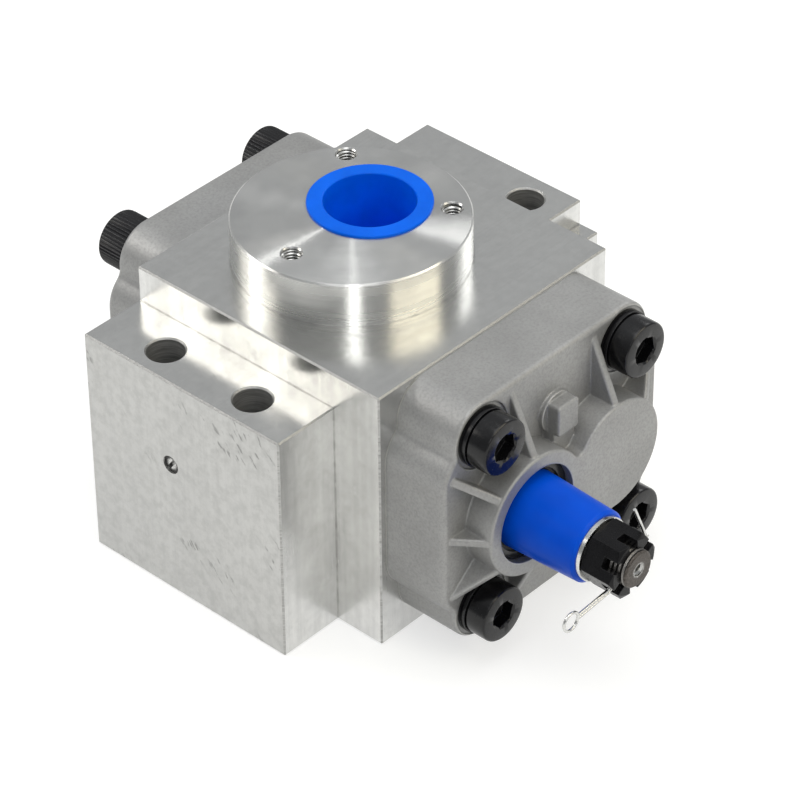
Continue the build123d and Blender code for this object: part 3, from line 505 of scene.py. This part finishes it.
def moulded_polyethylene(name, colour, shade):
    """Low-density polyethylene, injection moulded.

    It is waxy and strongly coloured, with a soft highlight, and a little light passes into it.
    """
    material, tree, coords = new_material(name)
    cloud = add(tree, NOISE, {"Vector": coords, "Scale": 1 / (9 * MM), "Detail": 2.0})
    grain = add(tree, NOISE, {"Vector": coords, "Scale": 1 / (0.9 * MM), "Detail": 2.0})
    share = add(tree, RANGE, {0: cloud, 1: LOW, 2: HIGH})
    tone = add(tree, MIX, {0: share, 1: colour, 2: shade}, data_type="RGBA")
    rough = add(tree, RANGE, {0: grain, 1: LOW, 2: HIGH, 3: 0.3, 4: 0.4})
    edge = add(tree, BEVEL, {"Radius": 0.25 * MM}, samples=4)
    relief = add(tree, BUMP, {"Height": grain, "Distance": 0.01 * MM, "Normal": edge})
    return coated(material, {
        "Base Color": tone, "Roughness": rough, "IOR": 1.51, "Specular IOR Level": 0.1, "Normal": relief,
        "Subsurface Weight": 0.15, "Subsurface Radius": (0.3, 0.6, 1.0), "Subsurface Scale": 1.0 * MM,
    })


def nitrile_rubber(name):
    """Nitrile rubber, moulded: black and nearly matt, with a fine bloom."""
    settings = bpy.context.scene.pump_plastic
    material, tree, coords = new_material(name)
    grain = add(tree, NOISE, {"Vector": coords, "Scale": 1 / (0.8 * MM), "Detail": 3.0})
    colour = add(tree, MIX, {0: grain, 1: settings.rubber, 2: srgb("#1f1f20")}, data_type="RGBA")
    rough = add(tree, RANGE, {0: grain, 1: LOW, 2: HIGH, 3: 0.5, 4: 0.65})
    relief = add(tree, BUMP, {"Height": grain, "Distance": 0.01 * MM})
    return coated(material, {"Base Color": colour, "Roughness": rough, "IOR": 1.52, "Normal": relief})


# Shapes that repeat

def sized_tree(name, sizes):
    """A Geometry Nodes tree with named inputs, listed by kind, and those inputs' sockets inside it."""
    tree = bpy.data.node_groups.new(name, "GeometryNodeTree")
    tree.interface.new_socket(name="Geometry", in_out="INPUT", socket_type="NodeSocketGeometry")
    for kind, labels in sizes.items():
        for label in labels:
            tree.interface.new_socket(name=label, in_out="INPUT", socket_type="NodeSocket" + kind)
    tree.interface.new_socket(name="Geometry", in_out="OUTPUT", socket_type="NodeSocketGeometry")
    return tree, {socket.name: socket for socket in add(tree, "NodeGroupInput").outputs if socket.name}


def round_grid(tree, around, corners):
    """A grid whose columns stand round an axis and whose rows are the corners of a section.

    Returns the grid, and for each of its points the row, the column, the radius and the height.
    """
    columns = add(tree, MATH, {0: around, 1: 1.0}, operation="ADD")
    grid = add(tree, "GeometryNodeMeshGrid", {"Vertices X": columns, "Vertices Y": len(corners)})
    index = add(tree, "GeometryNodeInputIndex")
    row = add(tree, MATH, {0: index, 1: float(len(corners))}, operation="MODULO")
    part = add(tree, MATH, {0: index, 1: float(len(corners))}, operation="DIVIDE")
    column = add(tree, MATH, {0: part}, operation="FLOOR")
    section = add(tree, "GeometryNodeIndexSwitch", data_type="VECTOR")
    while len(section.index_switch_items) < len(corners):
        section.index_switch_items.new()
    for i, source in enumerate((row, *corners)):
        tree.links.new(live(source.outputs, 0), live(section.inputs, i))
    radius, height, _ = add(tree, "ShaderNodeSeparateXYZ", {0: section}).outputs
    return grid, row, column, radius, height


def turned_grid(tree, grid, radius, turn, height, gap):
    """The grid with its points at these radii, turns in radians and heights, and gaps up to gap closed."""
    ways = [add(tree, MATH, {0: turn}, operation=way) for way in ("COSINE", "SINE")]
    east, north = [add(tree, MATH, {0: radius, 1: way}, operation="MULTIPLY") for way in ways]
    spot = add(tree, COMBINE, {0: east, 1: north, 2: height})
    shaped = add(tree, "GeometryNodeSetPosition", {"Geometry": grid, "Position": spot})
    return add(tree, "GeometryNodeMergeByDistance", {"Geometry": shaped, "Distance": gap})


def finish_tree(tree, shape, points, turn, material, random_turn):
    """Puts the shape on each point, turned, also at random round its axis, as real faces."""
    limits = {"Min": 0.0, "Max": random_turn, "Seed": 4}
    spun = add(tree, COMBINE, {2: add(tree, "FunctionNodeRandomValue", limits, data_type="FLOAT")})
    placing = {"Points": points, "Instance": shape, "Rotation": turn}
    placed = add(tree, "GeometryNodeInstanceOnPoints", placing)
    turning = {"Instances": placed, "Rotation": spun, "Local Space": True}
    turned = add(tree, "GeometryNodeRotateInstances", turning)
    real = add(tree, "GeometryNodeRealizeInstances", {"Geometry": turned})
    dressed = add(tree, "GeometryNodeSetMaterial", {"Geometry": real, "Material": material})
    add(tree, "NodeGroupOutput", {"Geometry": dressed})


# The middles of two pairs of rows in a screw's section, and how far either of a pair is from its middle.
SOCKET_ROWS, WALL_ROWS, EITHER = 11.5, 5.5, 0.6


def screw_tree():
    """Socket head screws on the points of a mesh: a turned section with a hexagonal socket and a knurl."""
    tree, size = sized_tree("socket_head_screws", {
        "Float": (
            "Head radius", "Head height", "Edge radius", "Socket half width", "Socket depth",
            "Shank radius", "Shank length", "Ridges", "Ridge depth",
        ),
        "Int": ("Around",), "Rotation": ("Turn",), "Material": ("Material",),
    })
    edge = add(tree, COMBINE, {0: size["Edge radius"], 1: size["Edge radius"]})
    tip = add(tree, MATH, {0: size["Shank length"], 1: -1.0}, operation="MULTIPLY")
    floor = add(tree, MATH, {0: size["Head height"], 1: size["Socket depth"]}, operation="SUBTRACT")
    shank, head, socket = size["Shank radius"], size["Head radius"], size["Socket half width"]
    corner = {
        name: add(tree, COMBINE, {0: out, 1: up}) for name, out, up in (
            ("tip middle", 0.0, tip), ("tip", shank, tip), ("neck", shank, 0.0), ("seat", head, 0.0),
            ("rim", head, size["Head height"]), ("mouth", socket, size["Head height"]),
            ("floor", socket, floor), ("floor middle", 0.0, floor),
        )
    }
    # Each row of the section is a corner, moved by a share of the edge radius.
    rows = (
        ("tip middle", (0, 0)), ("tip", (-1, 0)), ("tip", (0, 1)), ("neck", (0, 0)),
        ("seat", (-0.5, 0)), ("seat", (0, 0.5)), ("rim", (0, -1)), ("rim", (-0.134, -0.5)),
        ("rim", (-0.5, -0.134)), ("rim", (-1, 0)), ("mouth", (0.95, 0)), ("mouth", (0, -0.5)),
        ("floor", (0, 0)), ("floor middle", (0, -0.6)),
    )
    corners = [
        add(tree, VECTOR_MATH, {0: edge, 1: (*shift, 0), 2: corner[name]}, operation="MULTIPLY_ADD")
        for name, shift in rows
    ]
    grid, row, column, radius, height = round_grid(tree, size["Around"], corners)
    step = add(tree, MATH, {0: 2 * math.pi, 1: size["Around"]}, operation="DIVIDE")
    turn = add(tree, MATH, {0: column, 1: step}, operation="MULTIPLY")
    # The socket's two rows reach out to the corners of a hexagon.
    side_turn = add(tree, MATH, {0: turn, 1: math.pi / 6, 2: -math.pi / 6}, operation="WRAP")
    side = add(tree, MATH, {0: side_turn}, operation="COSINE")
    reach = add(tree, MATH, {0: radius, 1: side}, operation="DIVIDE")
    extra = add(tree, MATH, {0: reach, 1: radius}, operation="SUBTRACT")
    in_socket = add(tree, MATH, {0: row, 1: SOCKET_ROWS, 2: EITHER}, operation="COMPARE")
    hexed = add(tree, MATH, {0: extra, 1: in_socket, 2: radius}, operation="MULTIPLY_ADD")
    # The knurl is cut into the upright wall, from the seat to just under the rim.
    ridge_turn = add(tree, MATH, {0: turn, 1: size["Ridges"]}, operation="MULTIPLY")
    wave = add(tree, MATH, {0: ridge_turn}, operation="COSINE")
    cut = add(tree, RANGE, {0: wave, 1: -1.0, 2: 1.0, 3: size["Ridge depth"], 4: 0.0})
    on_wall = add(tree, MATH, {0: row, 1: WALL_ROWS, 2: EITHER}, operation="COMPARE")
    notch = add(tree, MATH, {0: cut, 1: on_wall}, operation="MULTIPLY")
    final = add(tree, MATH, {0: hexed, 1: notch}, operation="SUBTRACT")
    closed = turned_grid(tree, grid, final, turn, height, gap=0.002 * MM)
    finish_tree(tree, closed, size["Geometry"], size["Turn"], size["Material"], math.pi / 3)
    return tree


def thread_tree():
    """The thread of a tapped hole below each point of a mesh: one ridge that winds down the wall."""
    tree, size = sized_tree("hole_threads", {
        "Float": ("Hole radius", "Ridge depth", "Pitch", "Turns", "Start depth", "Steps per turn"),
        "Material": ("Material",),
    })
    wall = add(tree, COMBINE, {0: size["Hole radius"]})
    ridge = add(tree, COMBINE, {0: size["Ridge depth"], 1: size["Pitch"]})
    # A triangle that stands inwards, with its foot a little inside the wall.
    rows = ((0.1, -0.44), (-1.0, -0.06), (-1.0, 0.06), (0.1, 0.44), (0.1, -0.44))
    corners = [
        add(tree, VECTOR_MATH, {0: ridge, 1: (*shift, 0), 2: wall}, operation="MULTIPLY_ADD")
        for shift in rows
    ]
    steps = add(tree, MATH, {0: size["Turns"], 1: size["Steps per turn"]}, operation="MULTIPLY")
    grid, _, column, radius, height = round_grid(tree, steps, corners)
    turns = add(tree, MATH, {0: column, 1: size["Steps per turn"]}, operation="DIVIDE")
    turn = add(tree, MATH, {0: turns, 1: 2 * math.pi}, operation="MULTIPLY")
    # Both ends of the ridge run out into the wall over half a turn.
    left = add(tree, MATH, {0: size["Turns"], 1: turns}, operation="SUBTRACT")
    nearer = add(tree, MATH, {0: turns, 1: left}, operation="MINIMUM")
    grown = add(tree, RANGE, {0: nearer, 1: 0.0, 2: 0.5})
    proud = add(tree, MATH, {0: radius, 1: size["Hole radius"]}, operation="SUBTRACT")
    final = add(tree, MATH, {0: proud, 1: grown, 2: size["Hole radius"]}, operation="MULTIPLY_ADD")
    slim = add(tree, MATH, {0: height, 1: grown}, operation="MULTIPLY")
    drop = add(tree, MATH, {0: turns, 1: size["Pitch"], 2: size["Start depth"]}, operation="MULTIPLY_ADD")
    level = add(tree, MATH, {0: slim, 1: drop}, operation="SUBTRACT")
    closed = turned_grid(tree, grid, final, turn, level, gap=0.001 * MM)
    finish_tree(tree, closed, size["Geometry"], (0, 0, 0), size["Material"], 2 * math.pi)
    return tree


# Pieces

def tidy_mesh(name, source):
    """A mesh of its own from a bmesh, with its faces outwards, shaded smooth up to its sharp edges."""
    bmesh.ops.recalc_face_normals(source, faces=source.faces)
    mesh = bpy.data.meshes.new(name)
    source.to_mesh(mesh)
    source.free()
    mesh.polygons.foreach_set("use_smooth", [True] * len(mesh.polygons))
    mesh.set_sharp_from_angle(angle=SHARP)
    mesh.update()
    return mesh


def merged_copy(node, name):
    """A CAD node's shape as one closed mesh of its own."""
    source = bmesh.new()
    source.from_mesh(frame["nodes"][node].data)
    bmesh.ops.remove_doubles(source, verts=source.verts, dist=0.002 * MM)
    plain = bmesh.new()
    spots = [plain.verts.new(vert.co) for vert in source.verts]
    source.verts.index_update()
    for face in source.faces:
        plain.faces.new([spots[vert.index] for vert in face.verts])
    source.free()
    return tidy_mesh(name, plain)


def grown_mesh(name, tree, points, values):
    """The plain mesh that a Geometry Nodes tree makes on some points."""
    base = bpy.data.meshes.new(name + "_points")
    base.from_pydata([tuple(point) for point in points], [], [])
    carrier = linked(name + "_points", base)
    modifier = carrier.modifiers.new("shape", "NODES")
    modifier.node_group = tree
    for item in tree.interface.items_tree:
        if item.in_out == "INPUT" and item.name in values:
            modifier[item.identifier] = values[item.name]
    ready = carrier.evaluated_get(bpy.context.evaluated_depsgraph_get())
    made = bpy.data.meshes.new_from_object(ready)
    source = bmesh.new()
    source.from_mesh(made)
    if not source.faces:
        raise RuntimeError(f"{name}: the tree made no faces")
    mesh = tidy_mesh(name, source)
    mesh.materials.append(values["Material"])
    carrier.modifiers.remove(modifier)
    bpy.data.objects.remove(carrier)
    bpy.data.meshes.remove(base)
    bpy.data.meshes.remove(made)
    return mesh


def place_piece(name, mesh, body, slot, *nodes):
    """Puts a finished mesh in the scene, on its body, in place of its CAD nodes."""
    piece = linked(name, mesh)
    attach(piece, body)
    if nodes:
        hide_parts(*nodes)


def dress(material, *nodes):
    """Gives CAD nodes a better material."""
    for part in (frame["nodes"][node] for node in nodes):
        if not part.material_slots:
            part.data.materials.append(material)
        for slot in part.material_slots:
            slot.material = material


# How much of a face's normal points along an axis, for a face that is level, faced, sloped or square.
LEVEL, FACED, SLOPED, SQUARE = 0.95, 0.9, 0.3, 0.999


class PUMP_OT_block(bpy.types.Operator):
    """Finishes each face of the pump's block by how it was cut, and cuts the port holes' threads"""

    bl_idname = "pump.block"
    bl_label = "Milled block"

    def execute(self, context):
        settings = context.scene.pump_block
        mesh = merged_copy("pump_body", "milled_block")
        materials = {
            "faced": turned_aluminium("faced_aluminium", 0.21, 1.0, lean=0.15),
            "turned": turned_aluminium("turned_aluminium", 0.25, 0.8),
            "top": milled_aluminium("face_milled_aluminium", settings.fresh, 0, 0.19),
            "side": milled_aluminium(
                "side_milled_aluminium", srgb("#e0e0de"), 2, 0.22, bands=0.18, marks=0.1
            ),
            "lug_face": milled_aluminium(
                "sawn_and_skimmed_aluminium", srgb("#bdbdbb"), 2, 0.3, bands=0.12, marks=0.7, lean=38
            ),
            "drilled": drilled_aluminium("drilled_aluminium"),
            "deburred": fine_metal("deburred_aluminium", srgb("#b4b4b2"), srgb("#9c9c9a"), 0.5),
            "tapped": fine_metal("tapped_aluminium", srgb("#c8c8c6"), srgb("#a6a6a4"), 0.24),
        }
        order = list(materials)
        for material in materials.values():
            mesh.materials.append(material)
        for face in mesh.polygons:
            face.material_index = order.index(self.cut(face.center, face.normal))
        place_piece("milled_block", mesh, "pump", "milled_aluminium", "pump_body")
        values = {
            "Hole radius": 3.0 * MM, "Ridge depth": settings.thread_depth, "Pitch": settings.thread_pitch,
            "Turns": float(settings.thread_turns), "Start depth": 0.9 * MM, "Steps per turn": 24.0,
            "Material": materials["tapped"],
        }
        threads = grown_mesh("port_hole_threads", thread_tree(), PORT_HOLES, values)
        place_piece("port_hole_threads", threads, "pump", "milled_aluminium")
        return {"FINISHED"}

    def cut(self, centre, normal):
        """How a face of the block was cut."""
        if abs(normal.z) < LEVEL and (centre - INLET_CENTRE).xy.length < INLET_REACH:
            return "drilled"
        if centre.z > BOSS_FOOT_Z:
            if normal.z > FACED:
                return "faced"
            return "turned" if (centre - BOSS_CENTRE).xy.length > BOSS_WALL_RADIUS else "tapped"
        if normal.z > LEVEL and centre.z > LUG_STEP_Z:
            return "top"
        if abs(normal.z) > SLOPED and normal.z > -LEVEL:
            return "deburred"
        if any((centre - hole).xy.length < BOLT_HOLE_REACH for hole in BOLT_HOLES):
            return "drilled"
        if max(abs(normal.x), abs(normal.y)) > SQUARE:
            return "lug_face" if abs(centre.x) > LUG_END_X and abs(normal.x) > SQUARE else "side"
        return "side" if normal.z < -SQUARE else "drilled"


class PUMP_OT_castings(bpy.types.Operator):
    """Finishes both cast covers"""

    bl_idname = "pump.castings"
    bl_label = "Cast covers"

    def execute(self, context):
        dress(cast_aluminium("die_cast_aluminium"), "front_cover", "rear_cover")
        return {"FINISHED"}


class PUMP_OT_screws(bpy.types.Operator):
    """Makes the socket head screws of both covers"""

    bl_idname = "pump.screws"
    bl_label = "Corner screws"

    def execute(self, context):
        settings = context.scene.pump_hardware
        tree = screw_tree()
        black = blackened_steel("blackened_screw_steel")
        spots = [(x * SCREW_REACH, z * SCREW_REACH + SHAFT.z) for x in (-1, 1) for z in (-1, 1)]
        common = {
            "Head radius": settings.head_diameter / 2, "Edge radius": 0.9 * MM, "Shank radius": 6.0 * MM,
            "Material": black,
        }
        front = {
            "Head height": settings.front_head_height, "Socket half width": settings.front_socket / 2,
            "Socket depth": 4.0 * MM, "Ridges": 0.0, "Ridge depth": 0.0, "Around": 72,
            "Shank length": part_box("front_cap_screws")[1].y - FRONT_SEAT_Y, "Turn": (math.pi / 2, 0, 0),
        }
        rear = {
            "Head height": settings.rear_head_height, "Socket half width": settings.rear_socket / 2,
            "Socket depth": 6.6 * MM, "Ridges": float(settings.knurl_ridges),
            "Ridge depth": settings.knurl_depth, "Around": settings.knurl_ridges * 4,
            "Shank length": REAR_SEAT_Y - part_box("rear_cap_screws")[0].y, "Turn": (-math.pi / 2, 0, 0),
        }
        for side, seat_y, own in (("front", FRONT_SEAT_Y, front), ("rear", REAR_SEAT_Y, rear)):
            points = [(x, seat_y, z) for x, z in spots]
            mesh = grown_mesh(side + "_socket_screws", tree, points, {**common, **own})
            place_piece(side + "_socket_screws", mesh, "pump", "black_steel", side + "_cap_screws")
        dress(black, "front_lock_washers")
        return {"FINISHED"}


class PUMP_OT_drive(bpy.types.Operator):
    """Finishes the drive shaft, its washer, castle nut and split pin"""

    bl_idname = "pump.drive"
    bl_label = "Drive end"

    def execute(self, context):
        settings = context.scene.pump_hardware
        zinc = fine_metal("zinc_plated_steel", settings.plated, srgb("#c4c4c2"), 0.2)
        dress(zinc, "shaft_washer", "split_pin")
        dress(blackened_steel("blackened_nut_steel", 0.28, shine=0.2), "castle_nut")
        dress(shaft_steel("case_hardened_shaft_steel"), "drive_gear_shaft")
        return {"FINISHED"}


class PUMP_OT_inside(bpy.types.Operator):
    """Finishes the steel, aluminium, bronze and rubber parts inside the pump, and the side plug"""

    bl_idname = "pump.inside"
    bl_label = "Inside parts"

    def execute(self, context):
        ground = fine_metal("ground_steel", srgb("#b8b8b6"), srgb("#9f9f9d"), 0.22)
        dress(ground, "driven_gear_shaft", "shaft_key", "dowel_pins")
        dress(blackened_steel("blackened_spring_steel"), "snap_ring")
        dress(plug_steel("zinc_plated_plug_steel"), "side_plug")
        machined = fine_metal("machined_aluminium", srgb("#c2c3c1"), srgb("#abacaa"), 0.3)
        dress(machined, "front_bearing_block", "rear_bearing_block")
        dress(fine_metal("sintered_bronze", srgb("#b08a58"), srgb("#8f6d42"), 0.4), "bearing_bushes")
        dress(
            nitrile_rubber("nitrile_rubber"), "front_body_seal", "rear_body_seal", "front_pressure_seal",
            "rear_pressure_seal", "outlet_seal_ring", "shaft_seal",
        )
        return {"FINISHED"}


class PUMP_OT_plastics(bpy.types.Operator):
    """Finishes the blue cap in the inlet and the blue sleeve over the shaft"""

    bl_idname = "pump.plastics"
    bl_label = "Cap and sleeve"

    def execute(self, context):
        settings = context.scene.pump_plastic
        dress(moulded_polyethylene("cap_polyethylene", settings.cap, srgb("#005cd6")), "inlet_cap")
        dress(moulded_polyethylene("sleeve_polyethylene", settings.sleeve, srgb("#004ccc")), "shaft_sleeve")
        return {"FINISHED"}


# Stage

LAMP_AIM_Z = 0.06

# Each lamp: its name, which way it stands from the pump and how high, in degrees, how far off, its
# width and height in metres, its power in watts, and its colour.
LAMPS = (
    ("left_window", 122, 37, 1.2, 0.87, 0.3, 2.5, "#fffaf2"),
    ("left_tube", 121, 37, 1.15, 0.1, 0.36, 1.2, "#ffffff"),
    ("tall_lamp", -135, 37, 1.6, 0.19, 0.6, 3.1, "#ffffff"),
    ("front_window", -75, 37, 1.2, 0.95, 0.3, 3.5, "#fff5dc"),
    ("right_window", 3, 37, 1.2, 0.56, 0.3, 1.7, "#ffffff"),
    ("overhead", -137, 78, 1.2, 0.7, 0.7, 3.0, "#ffffff"),
    ("ceiling_tube", 43, 84, 1.15, 0.03, 0.6, 0.28, "#ffffff"),
    ("back_tube", 82, 52.2, 1.2, 0.4, 0.03, 0.25, "#ffffff"),
)


class PUMP_OT_stage(bpy.types.Operator):
    """Sets up the floor, the lights and the camera"""

    bl_idname = "pump.stage"
    bl_label = "Stage"

    def execute(self, context):
        settings = context.scene.pump_stage
        self.make_floor(settings)
        self.make_world()
        for lamp in LAMPS:
            self.make_lamp(*lamp)
        self.make_camera(settings)
        context.scene.view_settings.view_transform = "Standard"
        return {"FINISHED"}

    def make_floor(self, settings):
        mesh = bpy.data.meshes.new("paper_floor")
        half = 3.0
        corners = [(-half, -half, 0), (half, -half, 0), (half, half, 0), (-half, half, 0)]
        mesh.from_pydata(corners, [], [(0, 1, 2, 3)])
        floor = linked("paper_floor", mesh)
        material, tree = blank_material("matt_white_paper")
        paper = add(tree, "ShaderNodeBsdfDiffuse", {"Color": settings.paper})
        glow = add(tree, "ShaderNodeEmission", {"Color": (1, 1, 1, 1), "Strength": 0.58})
        both = add(tree, "ShaderNodeAddShader", {0: paper, 1: glow})
        path = add(tree, "ShaderNodeLightPath")
        # It glows only where it is seen, also in a mirror, so it doesn't light the pump from below.
        seen = path.outputs["Is Camera Ray"]
        for way in ("Is Glossy Ray", "Is Transmission Ray"):
            seen = add(tree, MATH, {0: seen, 1: path.outputs[way]}, operation="MAXIMUM")
        surface = add(tree, "ShaderNodeMixShader", {0: seen, 1: paper, 2: both})
        add(tree, "ShaderNodeOutputMaterial", {"Surface": surface})
        mesh.materials.append(material)

    def make_world(self):
        """A pale room with a lighter ceiling, dimmer away from the windows. The camera sees it white."""
        world = bpy.data.worlds.new("soft_studio")
        world.use_nodes = True
        tree = world.node_tree
        tree.nodes.clear()
        way = live(add(tree, "ShaderNodeTexCoord").outputs, "Generated")
        to_dim = add(tree, VECTOR_MATH, {0: way, 1: (-1.0, 0.0, 0.0)}, operation="DOT_PRODUCT")
        side = add(tree, RANGE, {0: to_dim, 1: 0.1, 2: 0.8, 3: 0.55, 4: 0.38})
        to_top = add(tree, VECTOR_MATH, {0: way, 1: (0.0, 0.0, 1.0)}, operation="DOT_PRODUCT")
        ceiling = add(tree, RANGE, {0: to_top, 1: 0.6, 2: 1.0, 4: 0.35})
        level = add(tree, MATH, {0: side, 1: ceiling}, operation="ADD")
        room = add(tree, "ShaderNodeBackground", {"Color": srgb("#f4f6f8"), "Strength": level})
        white = add(tree, "ShaderNodeBackground", {"Color": (1, 1, 1, 1), "Strength": 1.0})
        path = add(tree, "ShaderNodeLightPath")
        seen = add(tree, "ShaderNodeMixShader", {0: path.outputs["Is Camera Ray"], 1: room, 2: white})
        add(tree, "ShaderNodeOutputWorld", {"Surface": seen})
        bpy.context.scene.world = world

    def make_lamp(self, name, azimuth, elevation, distance, width, height, power, colour):
        lamp = bpy.data.lights.new(name, "AREA")
        lamp.shape = "RECTANGLE"
        lamp.size, lamp.size_y = width, height
        lamp.energy = power
        lamp.color = srgb(colour)[:3]
        made = linked(name, lamp)
        side, up = math.radians(azimuth), math.radians(elevation)
        way = Vector((math.cos(up) * math.cos(side), math.cos(up) * math.sin(side), math.sin(up)))
        made.location = way * distance + Vector((0, 0, LAMP_AIM_Z))
        made.rotation_euler = way.to_track_quat("Z", "Y").to_euler()
        made.visible_camera = False

    def make_camera(self, settings):
        data = bpy.data.cameras.new("photo_camera")
        data.sensor_width = 36.0
        data.lens = settings.lens
        data.clip_start, data.clip_end = 0.05, 20.0
        camera = linked("photo_camera", data)
        turn = Matrix.Rotation(settings.azimuth, 4, "Z")
        turn = turn @ Matrix.Rotation(math.pi / 2 - settings.elevation, 4, "X")
        turn = turn @ Matrix.Rotation(settings.roll, 4, "Z")
        camera.matrix_world = Matrix.Translation(Vector(settings.place)) @ turn
        bpy.context.scene.camera = camera


class PUMP_PT_panel(bpy.types.Panel):
    """The pump's finishing steps"""

    bl_idname = "PUMP_PT_panel"
    bl_label = "Pump"
    bl_space_type = "VIEW_3D"
    bl_region_type = "UI"
    bl_category = "Pump"

    def draw(self, context):
        for name in SETTINGS:
            group = getattr(context.scene, name)
            for field in group.bl_rna.properties:
                if field.identifier not in ("rna_type", "name"):
                    self.layout.prop(group, field.identifier)
        for step in STEPS:
            self.layout.operator(step.bl_idname)


SETTINGS = {
    "pump_block": BlockSettings,
    "pump_casting": CastingSettings,
    "pump_hardware": HardwareSettings,
    "pump_plastic": PlasticSettings,
    "pump_stage": StageSettings,
}
STEPS = (
    PUMP_OT_block, PUMP_OT_castings, PUMP_OT_screws, PUMP_OT_drive, PUMP_OT_inside, PUMP_OT_plastics,
    PUMP_OT_stage,
)


def register():
    for made in (*SETTINGS.values(), *STEPS, PUMP_PT_panel):
        bpy.utils.register_class(made)
    for name, group in SETTINGS.items():
        setattr(bpy.types.Scene, name, PointerProperty(type=group))


def unregister():
    for name in SETTINGS:
        delattr(bpy.types.Scene, name)
    for made in reversed((*SETTINGS.values(), *STEPS, PUMP_PT_panel)):
        bpy.utils.unregister_class(made)


def main():
    register()
    bpy.ops.pump.block()
    bpy.ops.pump.castings()
    bpy.ops.pump.screws()
    bpy.ops.pump.drive()
    bpy.ops.pump.inside()
    bpy.ops.pump.plastics()
    bpy.ops.pump.stage()


if __name__ == "__main__":
    main()
